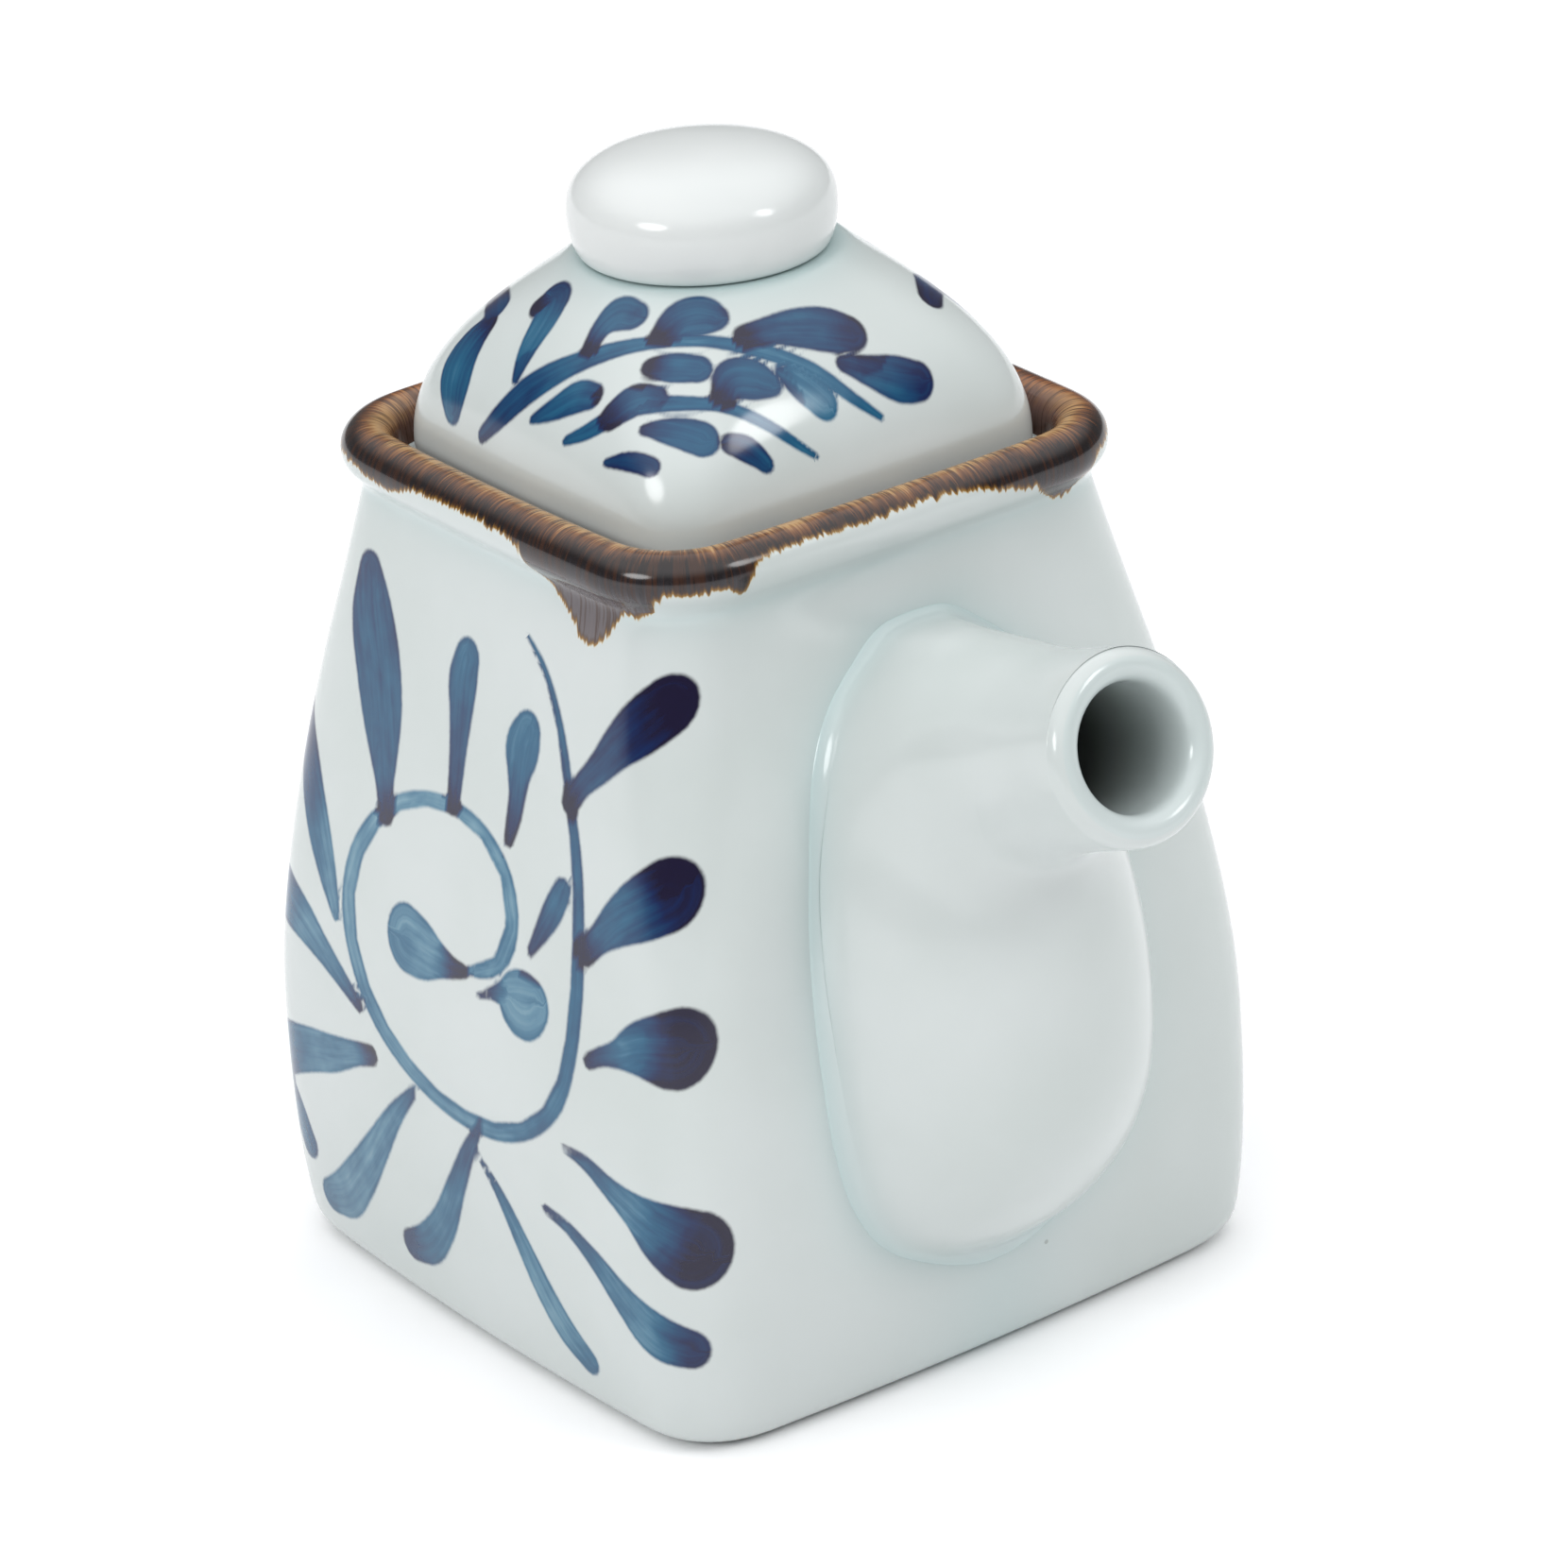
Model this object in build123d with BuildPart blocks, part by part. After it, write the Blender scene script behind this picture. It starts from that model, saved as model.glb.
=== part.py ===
from build123d import *
import os
from math import atan2, cos, radians, sin, sqrt

# Lidded sake bottle in slip-cast porcelain. Millimetres, +Z up, foot centre at the origin,
# spout towards +X. Every fit below is tied to the four widths and two heights that lead.

# ---- body ----
BODY_WIDTH = 84.0          # across the flats at the belly
NECK_WIDTH = 62.4          # across the flats under the rolled rim
NECK_HEIGHT = 91.5         # height of the narrowest part of the neck
CORNER_RADIUS = 8.7        # plan corner of the square body
SIDE_BOW = 500.0           # plan radius of the slightly bowed sides
WALL = 3.5
FLOOR = 5.0
FOOT_ROUND = 4.0           # rounded edge between side and foot
# share of the height to the neck, share of the way from neck width to belly width
PROFILE = (
    (0.000, 0.880), (0.090, 0.963), (0.186, 0.997), (0.280, 1.000), (0.370, 0.978),
    (0.470, 0.892), (0.568, 0.770), (0.670, 0.615), (0.776, 0.430), (0.890, 0.205), (1.000, 0.000),
)

# ---- rolled rim, mouth and lid seat ----
BEAD_RADIUS = 3.1          # the roll of the rim
BEAD_HEIGHT = NECK_HEIGHT + 4.4
BEAD_CENTRE = NECK_WIDTH / 2 - 0.5
BEAD_CORNER = 9.4
MOUTH_TRIM = 0.35          # the roll's inner side is this much short of a full round
BEAD_ROUND = 0.92          # rounding of the roll's edges, as a share of its radius
MOUTH_HALF = BEAD_CENTRE - BEAD_RADIUS + MOUTH_TRIM
LEDGE = 4.1                # width of the ledge the lid rests on
LEDGE_HEIGHT = NECK_HEIGHT + 2.5
THROAT_HALF = MOUTH_HALF - LEDGE
THROAT_CORNER = 6.0
THROAT_DEPTH = 3.5

# ---- lid ----
LID_GAP = 0.8              # lid edge to mouth, all round
COLLAR_GAP = 0.6           # collar to throat, all round
LID_HALF = MOUTH_HALF - LID_GAP
LID_HEIGHT = 24.2          # ledge to the flat under the knob
LID_WALL = 3.3
LID_FLANGE = 3.0           # thickness of the flat flange on the ledge
COLLAR_HALF = THROAT_HALF - COLLAR_GAP
COLLAR_WALL = 2.8
COLLAR_DEPTH = 8.0
# share of the lid height, share of the lid half width, corner radius, bow of the sides
DOME = (
    (0.000, 0.985, 7.6, 260.0), (0.190, 1.000, 8.2, 240.0), (0.340, 0.985, 8.6, 190.0),
    (0.500, 0.943, 9.4, 120.0), (0.660, 0.852, 10.4, 75.0), (0.805, 0.732, 11.6, 42.0),
    (0.925, 0.606, 12.2, 23.0), (1.000, 0.530, 12.6, 16.5),
)

# ---- knob ----
KNOB_RADIUS = 15.1
KNOB_FOOT_RADIUS = 14.0
KNOB_HEIGHT = 11.3
KNOB_BELLY = 4.6

# ---- spout ----
SPOUT_WALL = 3.2
SPOUT_TILT = 20.0          # degrees above level
SPOUT_REACH = BODY_WIDTH / 2 + 27.5      # mouth centre from the bottle axis
SPOUT_MOUTH_HEIGHT = NECK_HEIGHT - 9.5
SPOUT_BORE_RADIUS = 6.75
SPOUT_BORE_DEPTH = 18.0    # straight part of the bore, from the mouth
SPOUT_BORE_FLARE = 3.75    # how much wider the bore is at the bottle
SPOUT_LIP_RADIUS = 1.8
SPOUT_ROOT_RADIUS = 15.6
WINDOW_WIDTH = 20.0
WINDOW_HEIGHT = 0.3935 * NECK_HEIGHT
# share of the height to the neck, half width, how far it stands off the wall
BULB = (
    (0.125, 4.0, -1.5), (0.160, 8.5, 1.2), (0.195, 13.2, 5.4), (0.250, 17.0, 10.0),
    (0.340, 19.5, 14.6), (0.460, 20.2, 17.6), (0.590, 19.4, 18.8), (0.710, 17.0, 18.0),
    (0.810, 12.6, 14.0), (0.870, 7.6, 8.0), (0.900, 3.6, 3.0),
)
BULB_ROOT = 3.2            # how far the bulb's sections start inside the wall line

LID_TOP = LEDGE_HEIGHT + LID_HEIGHT
KNOB_TOP = LID_TOP + KNOB_HEIGHT


def body_half(share):
    """Half width of the body at a share of the neck height, straight between stations."""
    for (low, a), (high, b) in zip(PROFILE, PROFILE[1:]):
        if share <= high:
            part = a + (b - a) * (share - low) / (high - low)
            return NECK_WIDTH / 2 + part * (BODY_WIDTH - NECK_WIDTH) / 2
    return NECK_WIDTH / 2


def section(height, half, corner, bow):
    """A square of four bowed sides and four round corners, level at a height."""
    lean = bow - half
    reach = (sqrt(2 * (bow - corner) ** 2 - lean ** 2) - lean) / 2
    turn = atan2(reach, reach + lean)
    end_x = bow * cos(turn) - lean
    end_y = bow * sin(turn)
    tip = reach + corner * cos(radians(45))
    with BuildSketch(Plane.XY.offset(height)) as outline:
        with BuildLine():
            for quarter in range(4):
                points = [
                    Vector(x, y).rotate(Axis.Z, 90 * quarter)
                    for x, y in ((end_x, -end_y), (half, 0), (end_x, end_y), (tip, tip), (end_y, end_x))
                ]
                ThreePointArc(points[0], points[1], points[2])
                ThreePointArc(points[2], points[3], points[4])
        make_face()
    return outline.sketch.faces()[0]


def oval(height, centre, half_x, half_y):
    """A level ellipse with its centre out along +X."""
    with BuildSketch(Plane((centre, 0, height))) as outline:
        Ellipse(half_x, half_y)
    return outline.sketch.faces()[0]


def bulb_sections(inset, low, high):
    """Ovals of the spout's bulb, drawn in by a wall thickness, between two stations."""
    rows = []
    for share, half, stand in BULB[low:high]:
        root = body_half(share) - BULB_ROOT
        reach = stand + BULB_ROOT - inset
        rows.append(oval(share * NECK_HEIGHT, root, reach, half - inset))
    return rows


spout_mouth = Plane(
    origin=(SPOUT_REACH, 0, SPOUT_MOUTH_HEIGHT),
    x_dir=(-sin(radians(SPOUT_TILT)), 0, cos(radians(SPOUT_TILT))),
    z_dir=(cos(radians(SPOUT_TILT)), 0, sin(radians(SPOUT_TILT))),
)
spout_length_plane = Plane(spout_mouth.origin, x_dir=spout_mouth.x_dir, z_dir=(0, 1, 0))

# The outside of the body, which is also what the spout's foot is trimmed to.
outer_rows = [
    section(share * NECK_HEIGHT, body_half(share), CORNER_RADIUS, SIDE_BOW)
    for share, _ in PROFILE
]
outer_rows.append(section(BEAD_HEIGHT, BEAD_CENTRE, CORNER_RADIUS, SIDE_BOW))

with BuildPart() as body_blank:
    loft(sections=outer_rows)
    fillet(body_blank.edges().group_by(Axis.Z)[0], FOOT_ROUND)

# The rolled rim, a square ring rounded on all its edges.
bead_foot = BEAD_HEIGHT - BEAD_RADIUS
mouth_corner = BEAD_CORNER - BEAD_RADIUS + MOUTH_TRIM
with BuildPart() as rim_blank:
    extrude(
        section(bead_foot, BEAD_CENTRE + BEAD_RADIUS, BEAD_CORNER + BEAD_RADIUS, SIDE_BOW),
        2 * BEAD_RADIUS,
    )
    extrude(
        section(bead_foot, MOUTH_HALF, mouth_corner, SIDE_BOW),
        2 * BEAD_RADIUS,
        mode=Mode.SUBTRACT,
    )
    levels = rim_blank.edges().group_by(Axis.Z)
    fillet(levels[0] + levels[-1], BEAD_ROUND * BEAD_RADIUS)

with BuildPart() as vessel:
    add(body_blank.part)
    add(rim_blank.part)
    # hollow inside, up to the underside of the lid seat
    inner_rows = [
        section(FLOOR, body_half(FLOOR / NECK_HEIGHT) - WALL - 3.4, CORNER_RADIUS - 3.4, SIDE_BOW),
        section(FLOOR + 1.6, body_half(FLOOR / NECK_HEIGHT) - WALL - 1.2, CORNER_RADIUS - 3.0, SIDE_BOW),
    ]
    for share, _ in PROFILE[1:10]:
        inner_rows.append(
            section(share * NECK_HEIGHT, body_half(share) - WALL, CORNER_RADIUS - 2.4, SIDE_BOW)
        )
    loft(sections=inner_rows, mode=Mode.SUBTRACT)
    # slope under the seat, throat, and the recess the lid drops into
    throat_foot = LEDGE_HEIGHT - THROAT_DEPTH
    slope_rows = [inner_rows[-1], section(throat_foot, THROAT_HALF, THROAT_CORNER, SIDE_BOW)]
    loft(sections=slope_rows, ruled=True, mode=Mode.SUBTRACT)
    extrude(section(throat_foot, THROAT_HALF, THROAT_CORNER, SIDE_BOW), THROAT_DEPTH, mode=Mode.SUBTRACT)
    extrude(
        section(LEDGE_HEIGHT, MOUTH_HALF, mouth_corner, SIDE_BOW),
        BEAD_HEIGHT - LEDGE_HEIGHT,
        mode=Mode.SUBTRACT,
    )
    # pour window behind the spout
    with BuildSketch(Plane((BODY_WIDTH / 4, 0, NECK_HEIGHT * 0.53), x_dir=(0, 1, 0), z_dir=(1, 0, 0))):
        Ellipse(WINDOW_WIDTH / 2, WINDOW_HEIGHT / 2)
    extrude(amount=BODY_WIDTH / 2, mode=Mode.SUBTRACT)

with BuildPart() as spout:
    loft(sections=bulb_sections(0, 0, len(BULB)))
    # tube, turned about its own axis: root, taper, round lip
    lip_centre = SPOUT_BORE_RADIUS + SPOUT_LIP_RADIUS
    tube_length = SPOUT_REACH - NECK_WIDTH / 2 + 5.0
    with BuildSketch(spout_length_plane):
        with BuildLine():
            outside = Spline(
                (SPOUT_ROOT_RADIUS, -tube_length),
                (SPOUT_ROOT_RADIUS - 2.4, -tube_length * 0.62),
                (lip_centre + SPOUT_LIP_RADIUS + 0.2, -tube_length * 0.26),
                (lip_centre + SPOUT_LIP_RADIUS, -SPOUT_LIP_RADIUS),
            )
            lip = ThreePointArc(
                outside @ 1,
                (lip_centre, 0),
                (lip_centre - SPOUT_LIP_RADIUS, -SPOUT_LIP_RADIUS),
            )
            Polyline(lip @ 1, (0, -SPOUT_LIP_RADIUS), (0, -tube_length), outside @ 0)
        make_face()
    revolve(axis=Axis(spout_mouth.origin, spout_mouth.z_dir))
    add(body_blank.part, mode=Mode.SUBTRACT)
    # hollow of the bulb
    loft(sections=bulb_sections(SPOUT_WALL, 2, len(BULB) - 2), mode=Mode.SUBTRACT)
    # bore of the tube: straight behind the lip, then widening towards the bulb
    with BuildSketch(spout_length_plane):
        with BuildLine():
            Polyline(
                (0, 0),
                (SPOUT_BORE_RADIUS, 0),
                (SPOUT_BORE_RADIUS, -SPOUT_BORE_DEPTH),
                (SPOUT_BORE_RADIUS + SPOUT_BORE_FLARE, -tube_length),
                (0, -tube_length),
                (0, 0),
            )
        make_face()
    revolve(axis=Axis(spout_mouth.origin, spout_mouth.z_dir), mode=Mode.SUBTRACT)

with BuildPart() as lid_dome:
    dome_rows = [
        section(LEDGE_HEIGHT + share * LID_HEIGHT, LID_HALF * half, corner, bow)
        for share, half, corner, bow in DOME
    ]
    loft(sections=dome_rows)
    # flange opening, then the hollow of the dome
    collar_bore = COLLAR_HALF - COLLAR_WALL
    extrude(section(LEDGE_HEIGHT, collar_bore, THROAT_CORNER - 1.5, SIDE_BOW), LID_FLANGE, mode=Mode.SUBTRACT)
    hollow_rows = [section(LEDGE_HEIGHT + LID_FLANGE, collar_bore, THROAT_CORNER - 1.5, SIDE_BOW)]
    for share, half, corner, bow in DOME[2:6]:
        hollow_rows.append(
            section(
                LEDGE_HEIGHT + share * LID_HEIGHT - LID_WALL * 0.5,
                LID_HALF * half - LID_WALL * (1.0 + 0.5 * share),
                corner - 2.2,
                bow,
            )
        )
    loft(sections=hollow_rows, mode=Mode.SUBTRACT)

with BuildPart() as lid_collar:
    extrude(
        section(LEDGE_HEIGHT - COLLAR_DEPTH, COLLAR_HALF, THROAT_CORNER, SIDE_BOW),
        COLLAR_DEPTH,
    )
    extrude(
        section(LEDGE_HEIGHT - COLLAR_DEPTH, collar_bore, THROAT_CORNER - 1.5, SIDE_BOW),
        COLLAR_DEPTH,
        mode=Mode.SUBTRACT,
    )

with BuildPart() as lid_knob:
    with BuildSketch(Plane.XZ):
        with BuildLine():
            side = Spline(
                (KNOB_FOOT_RADIUS, LID_TOP),
                (KNOB_RADIUS * 0.985, LID_TOP + KNOB_BELLY * 0.5),
                (KNOB_RADIUS, LID_TOP + KNOB_BELLY),
                (KNOB_RADIUS * 0.965, LID_TOP + KNOB_HEIGHT * 0.60),
                (KNOB_RADIUS * 0.85, LID_TOP + KNOB_HEIGHT * 0.785),
                (KNOB_RADIUS * 0.62, LID_TOP + KNOB_HEIGHT * 0.92),
                (KNOB_RADIUS * 0.33, LID_TOP + KNOB_HEIGHT * 0.985),
                (0, KNOB_TOP),
            )
            Polyline(side @ 1, (0, LID_TOP), side @ 0)
        make_face()
    revolve(axis=Axis.Z)

os.makedirs("parts", exist_ok=True)
vessel.part.label = "vessel"
spout.part.label = "spout"
lid_dome.part.label = "lid_dome"
lid_collar.part.label = "lid_collar"
lid_knob.part.label = "lid_knob"
export_step(vessel.part, "parts/vessel.step")
export_step(spout.part, "parts/spout.step")
export_step(lid_dome.part, "parts/lid_dome.step")
export_step(lid_collar.part, "parts/lid_collar.step")
export_step(lid_knob.part, "parts/lid_knob.step")
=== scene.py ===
# %% [markdown]
# # A lidded sake bottle in Blender
# The bottle is slip-cast porcelain: a square body that swells towards its foot, a bulb with a short
# tube for a spout, a rolled rim dipped in brown glaze, and a domed lid with a bun knob. We start by
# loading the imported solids, which give every piece its size and place.

# %% Load the frame
import bpy
import bmesh
import math
import numpy as np
from mathutils import Matrix, Vector


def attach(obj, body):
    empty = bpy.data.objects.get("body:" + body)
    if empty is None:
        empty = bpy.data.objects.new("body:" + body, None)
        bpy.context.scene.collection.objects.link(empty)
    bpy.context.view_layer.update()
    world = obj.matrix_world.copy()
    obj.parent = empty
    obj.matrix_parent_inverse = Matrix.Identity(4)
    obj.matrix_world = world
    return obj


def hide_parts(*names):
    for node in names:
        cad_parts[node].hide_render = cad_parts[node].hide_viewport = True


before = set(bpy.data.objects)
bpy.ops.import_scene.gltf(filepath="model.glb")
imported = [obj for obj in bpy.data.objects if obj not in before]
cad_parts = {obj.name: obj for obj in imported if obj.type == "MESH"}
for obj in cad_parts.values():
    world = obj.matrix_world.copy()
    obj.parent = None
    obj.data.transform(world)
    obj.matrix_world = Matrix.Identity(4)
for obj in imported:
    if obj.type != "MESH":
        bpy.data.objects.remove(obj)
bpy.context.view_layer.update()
MM = 0.001
print("solids:", sorted(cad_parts))

# %% [markdown]
# The camera comes first, because it decides how large everything is drawn. It looks down on the
# corner between the painted side and the spout side through a long lens, so the upright edges
# nearly keep their direction.

# %% Camera
CAMERA_PLACE = Vector((0.5423, -0.3817, 0.3577))
CAMERA_TURN = math.radians(54.485)
CAMERA_DIP = math.radians(24.566)
CAMERA_ROLL = math.radians(-3.594)

lens = bpy.data.cameras.new("camera")
lens.sensor_width = 36.0
lens.lens = 151.66
lens.clip_start = 0.05
lens.clip_end = 10.0
camera = bpy.data.objects.new("camera", lens)
bpy.context.collection.objects.link(camera)
camera.rotation_mode = "QUATERNION"
level = Vector((math.cos(CAMERA_TURN), math.sin(CAMERA_TURN), 0.0))
back = Vector((
    math.sin(CAMERA_TURN) * math.cos(CAMERA_DIP),
    -math.cos(CAMERA_TURN) * math.cos(CAMERA_DIP),
    math.sin(CAMERA_DIP),
))
upright = back.cross(level)
side = level * math.cos(CAMERA_ROLL) + upright * math.sin(CAMERA_ROLL)
top = -level * math.sin(CAMERA_ROLL) + upright * math.cos(CAMERA_ROLL)
turn = Matrix((side, top, back)).transposed()
camera.rotation_quaternion = turn.to_quaternion()
camera.location = CAMERA_PLACE
bpy.context.scene.camera = camera
print("camera looks down", round(math.degrees(CAMERA_DIP), 1), "degrees")

# %% [markdown]
# Glazed porcelain shows its form only through what it reflects, so the room is a bright, even
# tent: a white world, one broad light from the upper left, and a smaller one from the right whose
# reflections draw the knob, the lid's corner and the lip of the spout.

# %% Floor and light
floor_mesh = bpy.data.meshes.new("floor")
floor_bm = bmesh.new()
bmesh.ops.create_grid(floor_bm, x_segments=2, y_segments=2, size=3.0)
floor_bm.to_mesh(floor_mesh)
floor_bm.free()
floor = bpy.data.objects.new("floor", floor_mesh)
bpy.context.collection.objects.link(floor)
floor_paint = bpy.data.materials.new("pale floor")
floor_paint.use_nodes = True
floor_shader = floor_paint.node_tree.nodes["Principled BSDF"]
floor_shader.inputs["Base Color"].default_value = (0.97, 0.97, 0.975, 1.0)
floor_shader.inputs["Roughness"].default_value = 0.9
floor_mesh.materials.append(floor_paint)

world = bpy.data.worlds.new("tent")
bpy.context.scene.world = world
world.use_nodes = True
tent = world.node_tree
tent_light = tent.nodes["Background"]
way = tent.nodes.new("ShaderNodeSeparateXYZ")
tent.links.new(tent.nodes.new("ShaderNodeTexCoord").outputs["Generated"], way.inputs[0])
dimming = tent.nodes.new("ShaderNodeMapRange")
dimming.interpolation_type = "SMOOTHSTEP"
dimming.inputs["From Min"].default_value = 0.3
dimming.inputs["From Max"].default_value = 0.85
dimming.inputs["To Min"].default_value = 0.22
dimming.inputs["To Max"].default_value = 1.65
tent.links.new(way.outputs["Z"], dimming.inputs["Value"])
tent.links.new(dimming.outputs["Result"], tent_light.inputs["Strength"])
tent_light.inputs["Color"].default_value = (0.985, 0.99, 1.0, 1.0)


def soft_light(name, place, aim, width, height, power):
    """An oval lamp that looks from its place at a point."""
    lamp = bpy.data.lights.new(name, "AREA")
    lamp.shape = "ELLIPSE"
    lamp.size = width
    lamp.size_y = height
    lamp.energy = power
    holder = bpy.data.objects.new(name, lamp)
    holder.location = place
    holder.rotation_mode = "QUATERNION"
    holder.rotation_quaternion = (Vector(place) - Vector(aim)).to_track_quat("Z", "Y")
    bpy.context.collection.objects.link(holder)
    return holder


CENTRE = (0.0, 0.0, 0.08)


def out_from_centre(turn, rise, distance):
    """A place seen from the bottle at a compass turn and a rise, both in degrees."""
    turn, rise = math.radians(turn), math.radians(rise)
    level_run = distance * math.cos(rise)
    return (
        level_run * math.cos(turn), level_run * math.sin(turn), CENTRE[2] + distance * math.sin(rise)
    )


soft_light("left window", out_from_centre(-80, 27, 0.9), CENTRE, 0.38, 0.26, 2.1)
soft_light("right window", out_from_centre(25, 37, 0.9), CENTRE, 0.22, 0.30, 1.3)

# %% [markdown]
# ## The square plan
# Body, rim, lid and collar all share one plan: a square with four slightly bowed sides and four
# round corners. `plan_points` walks round that outline in equal steps, so that a ring of vertices
# can be laid on it at any size. Because every ring takes equal steps, the edge flow runs straight
# up the walls.

# %% The plan of a ring
RING = 96                  # vertices round a ring, a multiple of eight


def plan_points(half, corner, bow, count=RING):
    """Equal steps round a bowed square, from the middle of the +X side, in millimetres."""
    lean = bow - half
    reach = (math.sqrt(2 * (bow - corner) ** 2 - lean ** 2) - lean) / 2
    turn = math.atan2(reach, reach + lean)
    side_run = bow * turn
    corner_run = corner * (math.pi / 4 - turn)
    octant = side_run + corner_run
    points = []
    for step in range(count):
        share = 8 * step / count
        eighth = int(share)
        run = (share - eighth) * octant
        if eighth % 2:
            run = octant - run
        if run <= side_run:
            x = bow * math.cos(run / bow) - lean
            y = bow * math.sin(run / bow)
        else:
            angle = turn + (run - side_run) / corner
            x = reach + corner * math.cos(angle)
            y = reach + corner * math.sin(angle)
        if eighth % 2:
            x, y = y, x
        quarter = eighth // 2
        for _ in range(quarter):
            x, y = -y, x
        points.append((x, y))
    return points


def grow_ring(bm, ring):
    """Extrude a closed ring of vertices and give back the new one in the same order."""
    members = set(ring)
    edges = {e for v in ring for e in v.link_edges if e.other_vert(v) in members}
    made = bmesh.ops.extrude_edge_only(bm, edges=list(edges))["geom"]
    fresh = {g for g in made if isinstance(g, bmesh.types.BMVert)}
    return [
        next(e.other_vert(v) for e in v.link_edges if e.other_vert(v) in fresh) for v in ring
    ]


def lay_square(ring, height, half, corner, bow):
    """Place a ring of vertices on the square plan, level at a height."""
    for vertex, (x, y) in zip(ring, plan_points(half, corner, bow, len(ring))):
        vertex.co = Vector((x, y, height)) * MM


def close_ring(bm, ring):
    """Fill a flat ring with one face."""
    bmesh.ops.contextual_create(bm, geom=ring)


def square_shell(name, rows):
    """A closed shell that passes through rows of (height, half, corner, bow)."""
    bm = bmesh.new()
    ring = bmesh.ops.create_circle(bm, segments=RING, radius=1.0)["verts"]
    lay_square(ring, *rows[0])
    close_ring(bm, ring)
    for row in rows[1:]:
        ring = grow_ring(bm, ring)
        lay_square(ring, *row)
    close_ring(bm, ring)
    bmesh.ops.recalc_face_normals(bm, faces=bm.faces)
    return into_piece(name, bm)


def into_piece(name, bm):
    """Turn a bmesh into a smooth-shaded object at the origin."""
    for face in bm.faces:
        face.smooth = True
    mesh = bpy.data.meshes.new(name)
    bm.to_mesh(mesh)
    bm.free()
    piece = bpy.data.objects.new(name, mesh)
    bpy.context.collection.objects.link(piece)
    return piece


def settle(piece, levels):
    """Subdivide a cage and keep the smooth result as the piece's own mesh."""
    rounding = piece.modifiers.new("rounding", "SUBSURF")
    rounding.levels = levels
    rounding.render_levels = levels
    return bake_modifiers(piece)


def bake_modifiers(piece):
    """Replace a piece's mesh by what its modifiers make of it."""
    bpy.context.view_layer.update()
    graph = bpy.context.evaluated_depsgraph_get()
    finished = bpy.data.meshes.new_from_object(piece.evaluated_get(graph), depsgraph=graph)
    piece.modifiers.clear()
    piece.data = finished
    finished.name = piece.name
    return piece


def places(piece):
    """Every vertex of a piece in millimetres, one row each."""
    flat = np.empty(3 * len(piece.data.vertices))
    piece.data.vertices.foreach_get("co", flat)
    return flat.reshape(-1, 3) / MM


def put_places(piece, points):
    """Write vertex places back, from millimetres."""
    piece.data.vertices.foreach_set("co", (points * MM).ravel())
    piece.data.update()


def faces_away(piece, centre):
    """Which vertices have a surface that faces away from a point."""
    flat = np.empty(3 * len(piece.data.vertices))
    piece.data.vertices.foreach_get("normal", flat)
    return ((places(piece) - centre) * flat.reshape(-1, 3)).sum(axis=1) > 0.0


def note_values(piece, name, values):
    """Store one number or one vector a vertex for the materials to read."""
    kind, field = ("FLOAT", "value") if values.ndim == 1 else ("FLOAT_VECTOR", "vector")
    layer = piece.data.attributes.new(name, kind, "POINT")
    layer.data.foreach_set(field, np.ascontiguousarray(values, dtype=np.float32).ravel())


print("one ring has", RING, "vertices")

# %% [markdown]
# ## The body
# The body is one closed shell. It starts in the middle of the foot, climbs the outside, rolls over
# the rim, drops onto the ledge that carries the lid, and goes down the throat to the floor inside.
# A lathe can't make it because it is square, so we extrude a ring and lay each new ring on the
# square plan at its own height and width.

# %% Body profile
NECK_HEIGHT = 91.5
NECK_HALF = 31.2
BELLY_HALF = 41.98
BODY_CORNER = 8.7
BODY_BOW = 500.0
WALL = 3.5
SWELL_SHARE = (0.0, 0.09, 0.186, 0.28, 0.37, 0.47, 0.568, 0.67, 0.776, 0.89, 1.0)
SWELL = (0.88, 0.963, 0.997, 1.0, 0.978, 0.892, 0.77, 0.615, 0.43, 0.205, 0.0)


def smooth_through(at, stations, values):
    """A smooth curve through stations, with slopes taken from the neighbours."""
    stations = np.asarray(stations, float)
    values = np.asarray(values, float)
    slopes = np.gradient(values, stations)
    at = np.clip(at, stations[0], stations[-1])
    slot = np.clip(np.searchsorted(stations, at) - 1, 0, len(stations) - 2)
    gap = stations[slot + 1] - stations[slot]
    t = (at - stations[slot]) / gap
    rise = 3 * t ** 2 - 2 * t ** 3
    return (
        values[slot] * (1 - rise)
        + values[slot + 1] * rise
        + gap * slopes[slot] * (t - 2 * t ** 2 + t ** 3)
        + gap * slopes[slot + 1] * (t ** 3 - t ** 2)
    )


def body_half(height):
    """Half width of the body's outside at a height."""
    share = np.asarray(height, float) / NECK_HEIGHT
    return NECK_HALF + (BELLY_HALF - NECK_HALF) * smooth_through(share, SWELL_SHARE, SWELL)


FOOT_ROUND = 4.0
ROLL_HEIGHT = 95.9
ROLL_HALF = 30.7
ROLL_RADIUS = 3.05
ROLL_CORNER = 9.4
LEDGE_HEIGHT = 94.0
MOUTH_HALF = 27.95
THROAT_HALF = 23.85
THROAT_FOOT = 90.5
FLOOR_TOP = 5.0

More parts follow.
